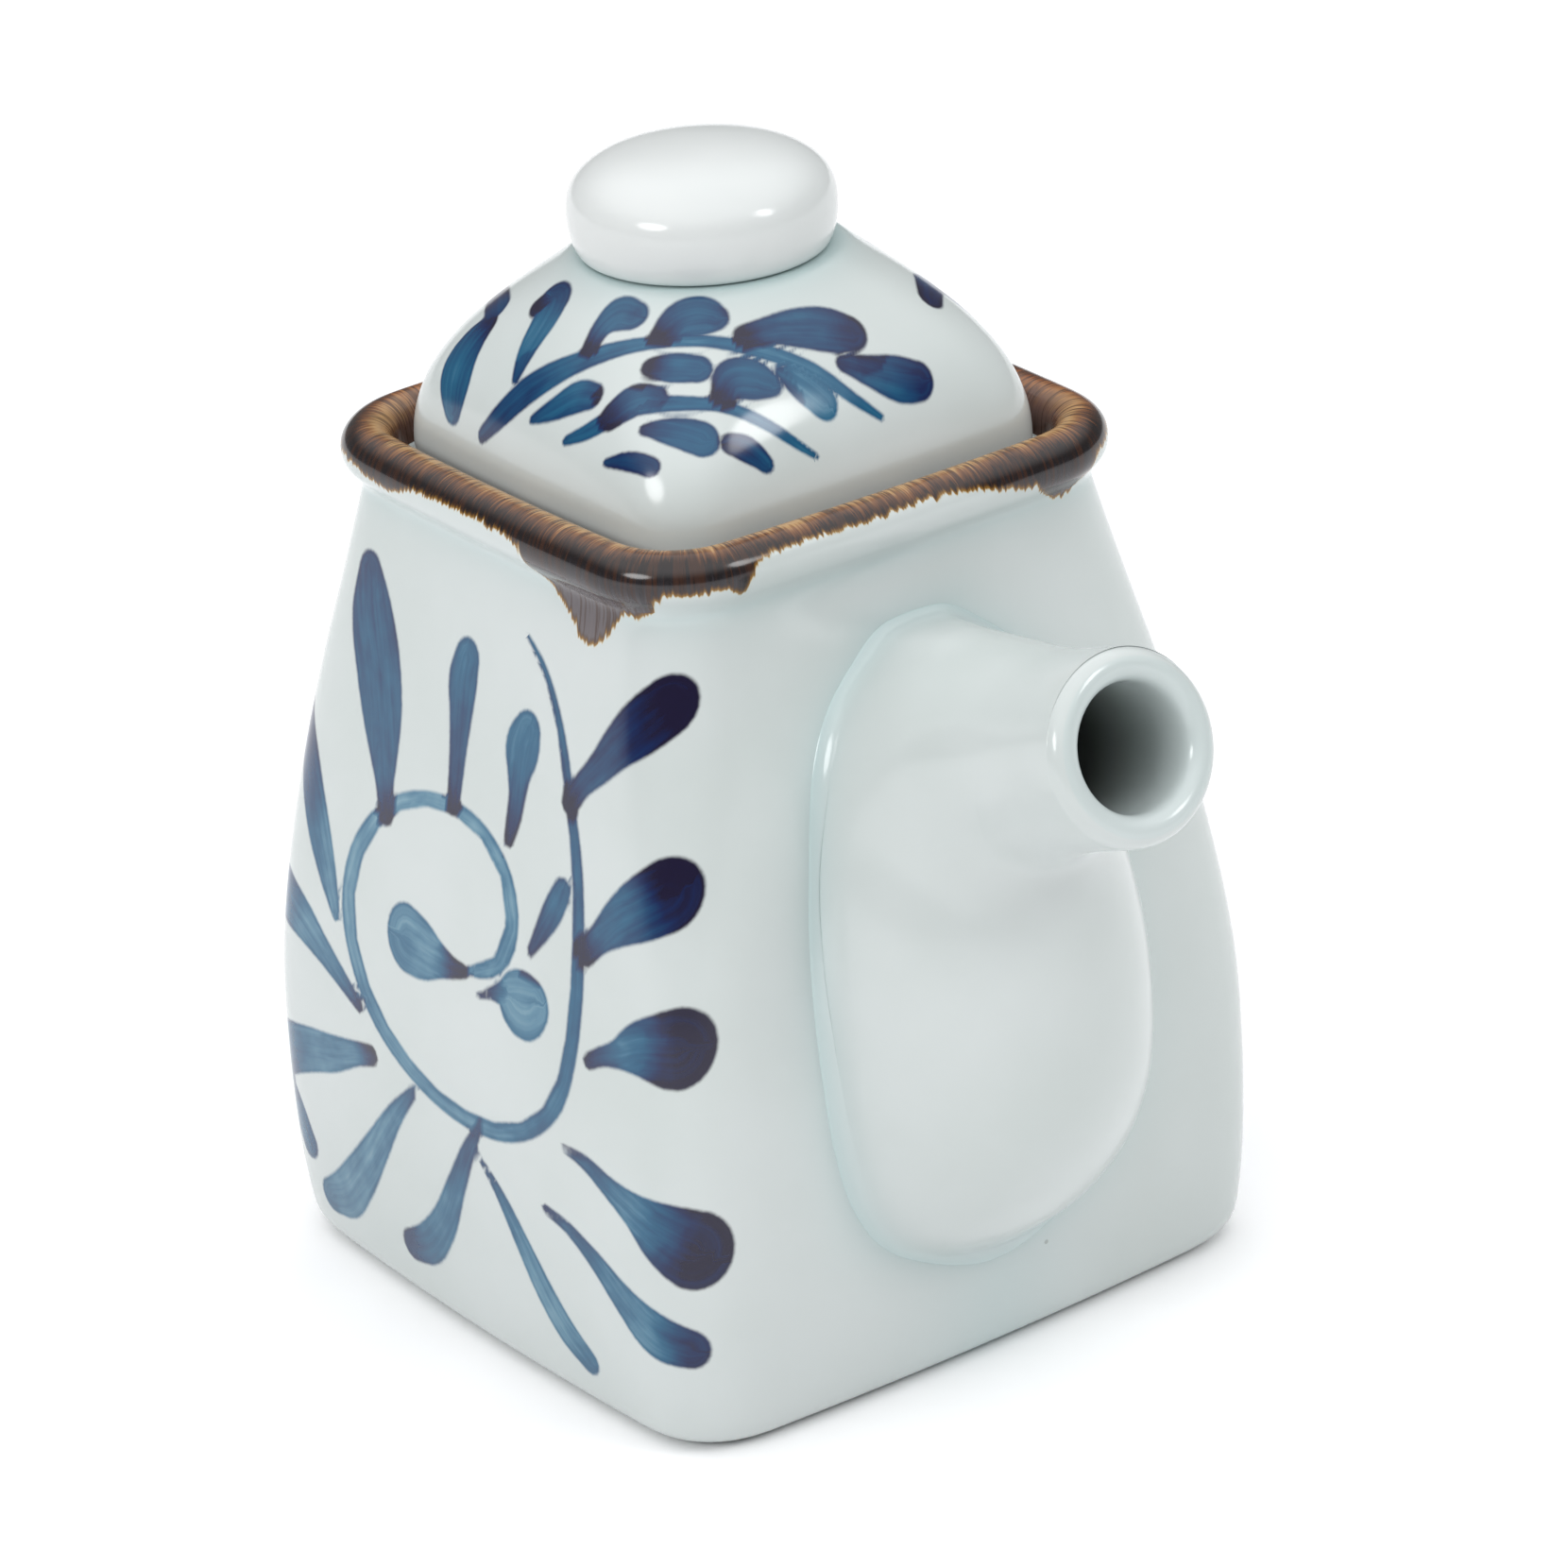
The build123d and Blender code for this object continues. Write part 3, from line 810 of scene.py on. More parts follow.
BODY_LEAVES = (
    ((-21.6, 83.6, 4.6, 0.7), (-20.4, 79.5, 8.0, 0.6), (-17.9, 74.0, 8.9, 0.55),
     (-16.4, 69.8, 8.0, 0.5), (-15.3, 65.5, 5.6, 0.5), (-14.5, 62.0, 3.6, 0.6), (-13.8, 59.2, 3.2, 0.98)),
    ((-1.6, 80.0, 4.4, 0.42), (-1.9, 77.8, 5.2, 0.45), (-1.6, 74.0, 4.2, 0.55),
     (-1.4, 70.0, 3.2, 0.62), (-1.3, 66.0, 2.6, 0.75), (-1.3, 63.9, 2.4, 0.98)),
    ((10.3, 75.5, 4.6, 0.35), (9.8, 73.6, 5.8, 0.35), (9.7, 71.5, 4.4, 0.42), (9.8, 68.5, 3.0, 0.6),
     (9.6, 66.0, 2.6, 0.8), (9.1, 63.4, 1.8, 0.9)),
    ((18.9, 60.8, 3.0, 0.5), (17.6, 58.2, 3.3, 0.55), (15.9, 55.2, 2.3, 0.7), (14.3, 52.6, 1.2, 0.8)),
    ((18.8, 70.5, 3.0, 1.0), (20.3, 72.6, 2.8, 0.75), (22.8, 75.3, 3.6, 0.65), (25.6, 78.6, 5.0, 0.75),
     (28.3, 81.2, 6.2, 0.9), (30.6, 83.2, 6.4, 1.0)),
    ((23.6, 55.6, 3.2, 1.0), (25.6, 57.7, 3.4, 0.6), (28.2, 60.2, 5.0, 0.5), (31.2, 62.4, 6.8, 0.55),
     (34.1, 64.2, 8.0, 0.98)),
    ((25.2, 44.0, 1.9, 0.9), (27.2, 45.2, 2.2, 0.75), (29.6, 46.2, 3.0, 0.5), (33.2, 47.8, 6.0, 0.5),
     (37.3, 48.3, 8.9, 1.0)),
    ((20.9, 32.6, 0.9, 0.7), (24.5, 32.2, 1.9, 0.6), (28.8, 30.6, 3.0, 0.4), (33.4, 28.9, 5.2, 0.35),
     (36.5, 27.4, 7.8, 0.55), (39.6, 26.0, 9.6, 0.97)),
    ((17.1, 23.8, 1.3, 0.75), (20.6, 23.1, 1.7, 0.6), (25.3, 20.8, 2.7, 0.4), (30.0, 17.6, 4.4, 0.35),
     (34.5, 15.0, 6.0, 0.35), (38.4, 14.0, 5.0, 0.8)),
    ((5.0, 25.8, 0.8, 0.6), (8.8, 22.2, 1.9, 0.45), (12.4, 17.4, 3.0, 0.28), (15.8, 12.7, 3.8, 0.2),
     (19.0, 9.2, 4.0, 0.22), (22.2, 7.0, 3.4, 0.4)),
    ((5.6, 29.4, 1.2, 0.7), (3.4, 26.0, 2.2, 0.6), (0.2, 20.2, 3.2, 0.42), (-3.6, 13.6, 4.4, 0.32),
     (-7.8, 9.4, 4.9, 0.45), (-10.8, 8.2, 4.0, 0.75)),
    ((-7.4, 28.6, 1.5, 0.6), (-11.0, 24.9, 2.6, 0.35), (-16.0, 18.6, 4.2, 0.28),
     (-21.0, 12.6, 5.6, 0.28), (-25.2, 8.6, 5.8, 0.3), (-28.4, 7.2, 4.4, 0.4)),
    ((-15.6, 30.1, 2.6, 0.95), (-18.8, 29.1, 3.0, 0.4), (-24.5, 27.0, 4.6, 0.3), (-30.0, 25.4, 5.6, 0.35),
     (-35.0, 23.6, 6.4, 0.5), (-39.5, 20.8, 6.0, 0.75)),
    ((-17.8, 35.3, 1.8, 0.8), (-21.5, 37.2, 2.6, 0.45), (-26.0, 39.4, 3.8, 0.3), (-31.0, 41.6, 5.6, 0.35),
     (-35.5, 42.6, 6.6, 0.6), (-39.0, 42.2, 6.0, 0.8)),
    ((-22.9, 44.4, 1.8, 0.3), (-24.4, 47.4, 3.4, 0.3), (-26.6, 51.6, 4.8, 0.35), (-28.9, 56.2, 5.2, 0.5),
     (-31.2, 60.6, 5.4, 0.7), (-33.4, 64.2, 4.8, 0.85)),
    ((2.9, 46.6, 1.6, 0.98), (0.6, 46.3, 2.6, 0.85), (-2.6, 46.3, 4.6, 0.3), (-5.8, 46.4, 7.2, 0.26),
     (-8.2, 46.6, 8.0, 0.3)),
    ((5.2, 44.6, 0.6, 0.75), (8.2, 45.9, 1.6, 0.65), (11.0, 46.6, 4.0, 0.35), (13.6, 46.4, 7.8, 0.24),
     (14.9, 46.9, 6.4, 0.24)),
    ((-37.2, 19.0, 3.4, 0.5), (-34.8, 16.2, 4.4, 0.45), (-32.4, 12.6, 4.2, 0.55)),
)
body_spots = places(body)
outside = (body_spots[:, 2] < 92.6) & faces_away(body, (0.0, 0.0, 45.0))
side_share, side_length = way_round(body_spots, body_half(body_spots[:, 2]), BODY_CORNER)
body_edge = np.full(len(body_spots), FAR)
body_flow = np.zeros((len(body_spots), 3))
body_ink = np.zeros(len(body_spots))
body_line = np.tile((3.0, 0.0, 3.0), (len(body_spots), 1))


def squeeze(across, first_side):
    """Behind, the leaves stop short of the spout's side, so they are drawn in a little there."""
    if first_side == 0.0:
        return across
    return np.where(across < -16.0, -16.0 + (across + 16.0) * 1.62, across)


# The same painting goes on the side behind, half a turn round.
for first_side in (0.0, 2.0):
    share = side_share - first_side
    share = np.where(share > 2.0, share - 4.0, share)
    seen = np.where(outside & (share > -0.9 if first_side == 0.0 else share > -0.52) & (share < 1.0))[0]
    spots = np.stack([share[seen] * side_length[seen], body_spots[seen, 2]], axis=1)
    spots[:, 0] = squeeze(spots[:, 0], first_side)
    edge, flow, ink = paint_strokes(spots, (STEM,) + BODY_LEAVES)
    better = edge > body_edge[seen]
    body_edge[seen[better]] = edge[better]
    body_flow[seen[better]] = flow[better]
    body_ink[seen[better]] = ink[better]
    near_side = np.where(outside & (np.abs(share) < 0.48))[0]
    side_spots = np.stack([share[near_side] * side_length[near_side], body_spots[near_side, 2]], axis=1)
    side_spots[:, 0] = squeeze(side_spots[:, 0], first_side)
    body_line[near_side] = line_of(side_spots, (STEM,))
note_values(body, "ink_line", body_line)
note_values(body, "ink_edge", body_edge)
note_values(body, "ink_flow", body_flow)
note_values(body, "ink_load", body_ink)
print("painted body vertices:", int((body_edge > 0).sum()))

# %% Strokes on the lid
LID_STROKES = (
    ((-7.0, -27.0, 1.0, 0.7), (-3.0, -25.6, 1.9, 0.65), (0.9, -23.6, 2.3, 0.55), (4.7, -21.4, 2.0, 0.5),
     (8.5, -18.9, 1.7, 0.42), (12.4, -15.8, 1.4, 0.4), (15.5, -12.6, 1.3, 0.4), (18.2, -9.4, 1.5, 0.4),
     (20.5, -6.1, 1.5, 0.35), (22.8, -2.8, 1.3, 0.35), (24.8, -0.3, 0.9, 0.35), (26.4, 2.6, 0.5, 0.35)),
    ((7.8, -25.9, 0.6, 0.5), (11.2, -24.6, 1.2, 0.5), (14.3, -22.4, 1.5, 0.5), (17.4, -20.0, 1.5, 0.5),
     (19.7, -17.7, 1.3, 0.45), (21.6, -15.1, 1.1, 0.4), (23.6, -12.3, 0.9, 0.4), (25.5, -9.2, 0.7, 0.4),
     (26.7, -6.6, 0.4, 0.4)),
    ((5.1, -19.8, 2.3, 1.0), (4.9, -17.9, 2.8, 0.55), (5.7, -16.2, 3.6, 0.5), (7.3, -15.6, 3.0, 0.55)),
    ((12.0, -15.2, 2.8, 1.0), (12.1, -13.2, 3.8, 0.6), (13.1, -11.2, 4.2, 0.5), (14.1, -10.2, 3.0, 0.6)),
    ((17.6, -8.3, 2.5, 1.0), (18.1, -5.6, 2.8, 0.7), (19.0, -2.2, 3.9, 0.6), (20.0, 1.2, 4.2, 0.7),
     (20.6, 3.0, 3.4, 0.85)),
    ((22.7, 0.5, 1.5, 0.8), (23.7, 3.2, 2.4, 0.65), (24.5, 6.2, 3.0, 0.6), (24.9, 8.8, 2.6, 0.8)),
    ((13.9, -18.1, 2.1, 1.0), (15.6, -16.8, 3.0, 0.6), (17.5, -15.0, 2.8, 0.55)),
    ((21.0, -14.3, 2.4, 1.0), (20.4, -12.4, 3.6, 0.7), (21.0, -10.6, 3.6, 0.55), (22.0, -9.0, 2.2, 0.6)),
    ((21.6, -7.0, 1.2, 0.5), (23.2, -5.4, 2.6, 0.3), (24.6, -3.9, 2.4, 0.35)),
    ((13.2, -23.2, 2.3, 0.95), (14.7, -21.4, 2.9, 0.6), (16.5, -19.8, 2.0, 0.7)),
    ((17.8, -22.4, 0.9, 0.8), (20.4, -20.6, 2.1, 0.55), (22.7, -18.7, 2.6, 0.5)),
    ((24.3, -16.0, 1.5, 0.85), (25.0, -14.4, 1.9, 0.7), (25.8, -12.9, 1.4, 0.6)),
    ((1.6, -25.8, 0.6, 0.6), (4.7, -24.7, 1.6, 0.5), (7.4, -23.4, 2.4, 0.5), (9.2, -22.9, 2.0, 0.6)),
    ((14.7, -25.5, 0.6, 0.7), (17.8, -24.7, 1.4, 0.75), (20.4, -23.8, 1.6, 0.7)),
    ((-6.3, -18.4, 2.6, 1.0), (-4.7, -17.4, 4.0, 0.7), (-3.9, -19.4, 4.0, 0.45), (-3.8, -21.8, 3.0, 0.4),
     (-3.4, -24.2, 1.2, 0.5)),
    ((-13.2, -20.6, 3.0, 0.95), (-14.2, -22.4, 4.8, 0.6), (-14.4, -24.4, 4.8, 0.45), (-13.6, -26.0, 3.0, 0.5)),
    ((14.0, 18.8, 3.0, 0.7), (17.4, 16.4, 2.6, 0.9)),
)
# The dome is steep at its sides, so strokes read off its plan are laid out flat first: every
# point moves out along its own direction to its distance over the dome from the crown.
rows_at = np.linspace(0.19, 1.0, 200)[::-1]
rows_half = LID_HALF * smooth_through(rows_at, dome_share, dome_half)
climb = np.hypot(np.diff(rows_half), LID_HEIGHT * np.diff(rows_at))
rows_run = rows_half[0] + np.concatenate(([0.0], np.cumsum(climb)))
rows_plan = [plan_points(*dome_row(share, ease_in=0.0)[1:], 192) for share in rows_at]
grid_plan = np.array(rows_plan).reshape(-1, 2)
grid_row = np.repeat(np.arange(len(rows_at)), 192)


def over_dome(path):
    """Move a stroke from the plan to the laid-out dome, and widen it as the dome stretches."""
    gap = ((path[:, None, :2] - grid_plan[None]) ** 2).sum(-1)
    row = grid_row[gap.argmin(axis=1)].astype(float)
    away = np.hypot(path[:, 0], path[:, 1])
    row = np.where(away < rows_half[0] * 0.95, 0.0, row)
    reach = len(path) // 9
    row = np.convolve(np.pad(row, reach, mode="edge"), np.ones(2 * reach + 1), mode="valid")
    row /= 2 * reach + 1
    steps = np.arange(len(rows_at))
    ratio = np.interp(row, steps, rows_run / rows_half)
    steepness = np.interp(row, steps, np.gradient(rows_run) / np.maximum(np.gradient(rows_half), 0.02))
    heading = np.gradient(path[:, :2], axis=0)
    heading /= np.hypot(*heading.T)[:, None] + 1e-9
    outward = path[:, :2] / (away[:, None] + 1e-9)
    along_out = (heading * outward).sum(axis=1)
    widen = np.hypot(along_out * ratio, np.sqrt(1 - along_out ** 2) * np.minimum(steepness, 1.9))
    laid = path.copy()
    laid[:, :2] *= ratio[:, None]
    laid[:, 2] *= widen
    return laid


lid_spots = places(lid)
lid_share = (lid_spots[:, 2] - LEDGE_HEIGHT) / LID_HEIGHT
shrunk = 0.45 * np.sin(math.pi * np.clip(lid_share, 0.0, 1.0))
row_half = LID_HALF * smooth_through(np.clip(lid_share, 0.19, 1.0), dome_share, dome_half)
low_run = np.maximum(0.19 - lid_share, 0.0) * LID_HEIGHT
row_run = np.interp(-np.clip(lid_share, 0.19, 1.0), -rows_at, rows_run) + low_run
lid_flat = lid_spots[:, :2] * (row_run / (row_half - shrunk))[:, None]
on_crown = lid_share > 0.998
lid_flat[on_crown] = lid_spots[on_crown, :2]
on_dome = (lid_spots[:, 2] > LEDGE_HEIGHT + 0.3) & faces_away(lid, (0.0, 0.0, LEDGE_HEIGHT))
lid_edge = np.full(len(lid_spots), FAR)
lid_flow = np.zeros((len(lid_spots), 3))
lid_ink = np.zeros(len(lid_spots))
lid_line = np.tile((3.0, 0.0, 3.0), (len(lid_spots), 1))
for sign in (1.0, -1.0):
    seen = np.where(on_dome)[0]
    edge, flow, ink = paint_strokes(lid_flat[seen] * sign, LID_STROKES, over_dome)
    better = edge > lid_edge[seen]
    lid_edge[seen[better]] = edge[better]
    lid_flow[seen[better]] = flow[better]
    lid_ink[seen[better]] = ink[better]
    line = line_of(lid_flat[seen] * sign, LID_STROKES[:2], over_dome)
    closer = line[:, 2] < lid_line[seen, 2]
    lid_line[seen[closer]] = line[closer]
note_values(lid, "ink_line", lid_line)
note_values(lid, "ink_edge", lid_edge)
note_values(lid, "ink_flow", lid_flow)
note_values(lid, "ink_load", lid_ink)
print("painted lid vertices:", int((lid_edge > 0).sum()))

# %% [markdown]
# ## The brown rim
# The rim was dipped upside down in an iron glaze, which ran when it melted. Its lower edge is
# drawn as a line of (share of a side, distance up the profile), with a long run over the front
# corner. Every vertex keeps its distance inside that line, and its place round and up the roll for
# the fine streaks that follow the flow of the glaze.

# %% Rim line
RIM_LINE = (
    (-0.50, 13.6), (-0.38, 13.3), (-0.33, 12.5), (-0.27, 12.2), (-0.21, 13.2), (-0.18, 13.8),
    (-0.05, 14.0), (0.05, 14.0), (0.12, 13.7), (0.165, 13.4), (0.172, 11.5), (0.176, 9.3),
    (0.195, 8.5), (0.23, 6.9), (0.27, 5.5), (0.30, 3.9), (0.33, 3.2), (0.36, 3.7), (0.385, 5.0),
    (0.40, 6.5), (0.425, 7.9), (0.45, 7.7), (0.475, 8.9), (0.487, 11.8), (0.50, 12.5), (0.56, 12.4),
    (0.60, 12.1), (0.62, 11.2), (0.635, 12.6), (0.655, 14.4), (0.70, 15.1), (0.90, 14.9),
    (1.08, 15.1), (1.16, 14.2), (1.22, 13.2), (1.29, 12.2), (1.33, 9.6), (1.36, 8.1), (1.405, 8.0),
    (1.425, 10.2), (1.45, 13.0), (1.50, 13.6), (1.70, 14.2), (2.10, 13.8), (2.30, 13.4),
    (2.41, 11.4), (2.46, 9.7), (2.50, 10.4), (2.54, 12.4), (2.62, 13.8), (3.00, 14.2), (3.30, 13.9),
    (3.50, 13.6),
)
RIM_SIDE = 58.0            # millimetres along one side of the rim
roll_lean = np.abs(body_spots[:, :2]) + body_spots[:, 1::-1] ** 2 / (2 * BODY_BOW)
beyond = roll_lean - (ROLL_HALF - ROLL_CORNER)
roll_out = (
    np.hypot(*np.maximum(beyond, 0.0).T) + np.minimum(beyond.max(axis=1), 0.0) - ROLL_CORNER
)
roll_turn = np.degrees(np.arctan2(body_spots[:, 2] - ROLL_HEIGHT, roll_out))
roll_turn = np.where(roll_turn < -120, roll_turn + 360, roll_turn)
on_wall = body_spots[:, 2] < 92.7
profile_run = np.where(on_wall, body_spots[:, 2] - 83.8, 9.2 + (roll_turn + 75.0) * 0.0532)
rim_share, _ = way_round(body_spots, ROLL_HALF, ROLL_CORNER)
rim_spots = np.stack([rim_share * RIM_SIDE, profile_run], axis=1)
line = np.array([(s * RIM_SIDE, v) for s, v in RIM_LINE])
rim_edge = np.full(len(body_spots), -6.0)
near = np.where(body_spots[:, 2] > 84.0)[0]
share, away, _ = nearest_on_path(rim_spots[near], line)
above = rim_spots[near, 1] > np.interp(rim_spots[near, 0], line[:, 0], line[:, 1])
rim_edge[near] = np.where(above, 1.0, -1.0) * away.min(axis=1)
inside_bottle = (body_spots[:, 2] < 94.3) & (roll_out < -1.2)
rim_edge[inside_bottle] = -2.0
note_values(body, "rim_edge", rim_edge)
round_angle = rim_share * math.pi / 2
note_values(body, "rim_wrap", np.stack([
    37.0 * np.cos(round_angle), 37.0 * np.sin(round_angle), profile_run
], axis=1))
print("rim vertices:", int((rim_edge > 0).sum()))

# %% [markdown]
# Celadon glaze is faintly green where it lies thick, so it needs to know where it gathers: in the
# crease round the bulb, under the tube, under the roll of the rim and in the groove of the knob.

# %% Where the glaze pools
spout_spots = places(spout)
form_gap = np.abs(bulb_distance(spout_spots) - tube_distance(spout_spots, tube_outside))
on_skin = spout_skin(spout_spots) > -1.0
spout_pool = np.exp(-np.maximum(wall_distance(spout_spots), 0.0) / 1.6)
note_values(spout, "pool", np.where(on_skin, spout_pool, 0.3))
# Down the spout's bore the colour is greyed towards the hollow: painted shade, not bare clay.
run_in = (spout_spots - MOUTH_PLACE) @ TUBE_RUN
note_values(spout, "painted_bore_shade", np.where(on_skin, 0.0, np.clip((-5.0 - run_in) / 14.0, 0.0, 1.0)))
body_gap = melt(bulb_distance(body_spots), tube_distance(body_spots, tube_outside), 5.0)
body_pool = np.exp(-np.maximum(body_gap, 0.0) / 2.2) * (body_spots[:, 0] > 20.0)
body_pool = np.maximum(body_pool, 0.55 * np.exp(-np.abs(body_spots[:, 2] - 91.8) / 1.6))
note_values(body, "pool", body_pool)
from_axis = np.hypot(lid_spots[:, 0], lid_spots[:, 1])
note_values(lid, "pool", np.exp(-np.maximum(from_axis - 14.0, 0.0) / 1.5) * (lid_spots[:, 2] > 112.0))
knob_spots = places(knob)
note_values(knob, "pool", np.exp(-np.maximum(knob_spots[:, 2] - lid_top, 0.0) / 0.7))
note_values(collar, "pool", np.zeros(len(collar.data.vertices)))
print("pooled glaze noted on", [piece.name for piece in (spout, body, lid, knob)])

# %% [markdown]
# ## Finishes
# Colours are mixed from 0 to 255 as a painter's chart gives them, and turned into the
# linear values that shaders add up.

# %% Shader helpers
def paint(red, green, blue):
    """A chart colour as linear light."""
    return tuple(
        (c / 255 / 12.92 if c < 10.3 else ((c / 255 + 0.055) / 1.055) ** 2.4)
        for c in (red, green, blue)
    ) + (1.0,)


class Wiring:
    """Short words for adding and joining nodes in one tree."""

    def __init__(self, tree):
        self.tree = tree

    def add(self, kind, **settings):
        """Add a node, setting its properties and its named inputs."""
        node = self.tree.nodes.new(kind)
        inputs = settings.pop("inputs", {})
        for key, value in settings.items():
            setattr(node, key, value)
        for key, value in inputs.items():
            self.feed(node, key, value)
        return node

    def feed(self, node, key, value):
        """Give an input a fixed value or a link from another socket."""
        socket = node.inputs[key]
        if isinstance(value, bpy.types.NodeSocket):
            self.tree.links.new(value, socket)
        else:
            socket.default_value = value

    def sum_of(self, operation, first, second, clamp=False):
        """One step of arithmetic."""
        node = self.add("ShaderNodeMath", operation=operation, use_clamp=clamp)
        self.feed(node, 0, first)
        self.feed(node, 1, second)
        return node.outputs[0]

    def noise(self, vector, scale, detail=2.0, roughness=0.5):
        """Noise as one number from 0 to 1."""
        return self.add("ShaderNodeTexNoise", inputs={
            "Vector": vector, "Scale": scale, "Detail": detail, "Roughness": roughness,
        }).outputs["Fac"]

    def stretch(self, vector, scale):
        """Scale a vector's three parts."""
        node = self.add("ShaderNodeMapping", vector_type="POINT")
        self.feed(node, "Vector", vector)
        node.inputs["Scale"].default_value = scale
        return node.outputs["Vector"]

    def ease(self, value, low, high, to_low=0.0, to_high=1.0):
        """A smooth step between two values."""
        return self.add("ShaderNodeMapRange", interpolation_type="SMOOTHSTEP", inputs={
            "Value": value, "From Min": low, "From Max": high, "To Min": to_low, "To Max": to_high,
        }).outputs["Result"]

    def ramp(self, value, stops):
        """A colour ramp through (place, colour) stops."""
        node = self.add("ShaderNodeValToRGB", inputs={"Fac": value})
        ramp = node.color_ramp
        while len(ramp.elements) < len(stops):
            ramp.elements.new(0.5)
        for element, (place, colour) in zip(ramp.elements, stops):
            element.position = place
            element.color = colour
        return node.outputs["Color"]

    def blend(self, share, under, over):
        """One colour over another."""
        node = self.add("ShaderNodeMix", data_type="RGBA")
        self.feed(node, 0, share)
        self.feed(node, 6, under)
        self.feed(node, 7, over)
        return node.outputs[2]

    def value_of(self, name, vector=False):
        """A stored vertex value."""
        node = self.add("ShaderNodeAttribute", attribute_name=name)
        return node.outputs["Vector" if vector else "Fac"]


def new_group(name, ins, outs):
    """An empty node group with its named sockets; gives wiring, inputs and output node."""
    tree = bpy.data.node_groups.new(name, "ShaderNodeTree")
    for label, kind, value in ins:
        socket = tree.interface.new_socket(label, in_out="INPUT", socket_type="NodeSocket" + kind)
        if value is not None:
            socket.default_value = value
    for label, kind in outs:
        tree.interface.new_socket(label, in_out="OUTPUT", socket_type="NodeSocket" + kind)
    wiring = Wiring(tree)
    entry = wiring.add("NodeGroupInput").outputs
    exit_node = wiring.add("NodeGroupOutput")
    return tree, wiring, entry, exit_node


# %% [markdown]
# The glaze group gives the ground colour of every piece: pale celadon, greener where `Pool` is
# high, clouded a little, with rare iron specks, and a slow swell in its surface that bends
# reflections as a hand-dipped glaze does. Down the spout's bore it is greyed as painted shade.

# %% Celadon glaze group
celadon, w, entry, leave = new_group(
    "celadon glaze",
    [("Pool", "Float", 0.0), ("Painted Bore Shade", "Float", 0.0), ("Place", "Vector", None),
     ("Shade", "Color", paint(190, 197, 195)), ("Tint", "Color", paint(196, 202, 201))],
    [("Color", "Color"), ("Roughness", "Float"), ("Height", "Float")],
)
cloud = w.noise(entry["Place"], 38.0, 3.0)
ground = w.blend(w.ease(cloud, 0.3, 0.7), entry["Shade"], entry["Tint"])
green = w.sum_of("MULTIPLY", entry["Pool"], 0.5)
ground = w.blend(green, ground, paint(164, 193, 194))
cells = w.add("ShaderNodeTexVoronoi", inputs={"Vector": entry["Place"], "Scale": 95.0})
speck = w.ease(cells.outputs["Distance"], 0.022, 0.035, 1.0, 0.0)
rare = w.sum_of("GREATER_THAN", w.add(
    "ShaderNodeSeparateColor", inputs={"Color": cells.outputs["Color"]}
).outputs[0], 0.82)
speck = w.sum_of("MULTIPLY", w.sum_of("MULTIPLY", speck, rare), 0.5)
ground = w.blend(speck, ground, paint(120, 125, 120))
# Painted shade: the spout's bore is greyed where this value is high.
ground = w.blend(entry["Painted Bore Shade"], ground, paint(96, 98, 94))
w.feed(leave, "Color", ground)
w.feed(leave, "Roughness", w.ease(w.noise(entry["Place"], 160.0, 2.0), 0.2, 0.8, 0.12, 0.18))
swell = w.sum_of("MULTIPLY", w.noise(entry["Place"], 55.0, 1.0), 1.0)
w.feed(leave, "Height", swell)
print("glaze group has", len(celadon.nodes), "nodes")

# %% [markdown]
# The ink group turns the stored distances into brushwork. Noise stretched along the brush makes
# the hairs' streaks, finer noise frays the edge, and the ink value picks a blue from watery to
# nearly black.

# %% Cobalt ink group
cobalt, w, entry, leave = new_group(
    "cobalt ink",
    [("Edge", "Float", FAR), ("Line", "Vector", None), ("Flow", "Vector", None),
     ("Load", "Float", 0.5), ("Place", "Vector", None)],
    [("Color", "Color"), ("Mask", "Float")],
)
line = w.add("ShaderNodeSeparateXYZ", inputs={"Vector": entry["Line"]}).outputs
line_depth = w.sum_of("SUBTRACT", line["Y"], w.sum_of("ABSOLUTE", line["X"], 0.0))
near_line = w.ease(line["Z"], 1.5, 1.75)
line_depth = w.sum_of("SUBTRACT", line_depth, w.sum_of("MULTIPLY", near_line, 3.0))
depth = w.sum_of("MAXIMUM", entry["Edge"], line_depth)
hairs = w.noise(w.stretch(entry["Flow"], (0.06, 0.8, 1.0)), 1.5, 3.0, 0.5)
washes = w.noise(w.stretch(entry["Flow"], (0.2, 0.3, 1.0)), 1.0, 2.0)
fray = w.noise(entry["Place"], 1100.0, 2.0, 0.6)
frayed = w.sum_of("ADD", depth, w.sum_of("MULTIPLY", w.sum_of("SUBTRACT", fray, 0.5), 0.16))
mask = w.ease(frayed, -0.3, 0.26)
tone = w.sum_of("ADD", entry["Load"], w.sum_of("MULTIPLY", w.sum_of("SUBTRACT", hairs, 0.5), 0.45))
tone = w.sum_of("ADD", tone, w.sum_of("MULTIPLY", w.sum_of("SUBTRACT", washes, 0.5), 0.45))
gathered = w.sum_of("MULTIPLY", w.ease(depth, 0.15, 0.75, 1.0, 0.0), 0.1)
tone = w.sum_of("ADD", tone, gathered, True)
blue = w.ramp(tone, (
    (0.0, paint(96, 142, 160)), (0.2, paint(58, 112, 138)), (0.42, paint(24, 84, 116)),
    (0.62, paint(10, 58, 96)), (0.82, paint(10, 30, 74)), (1.0, paint(18, 12, 42)),
))
w.feed(leave, "Color", blue)
thin = w.ease(tone, 0.0, 0.4, 0.88, 1.0)
w.feed(leave, "Mask", w.sum_of("MULTIPLY", mask, thin))
print("ink group has", len(cobalt.nodes), "nodes")
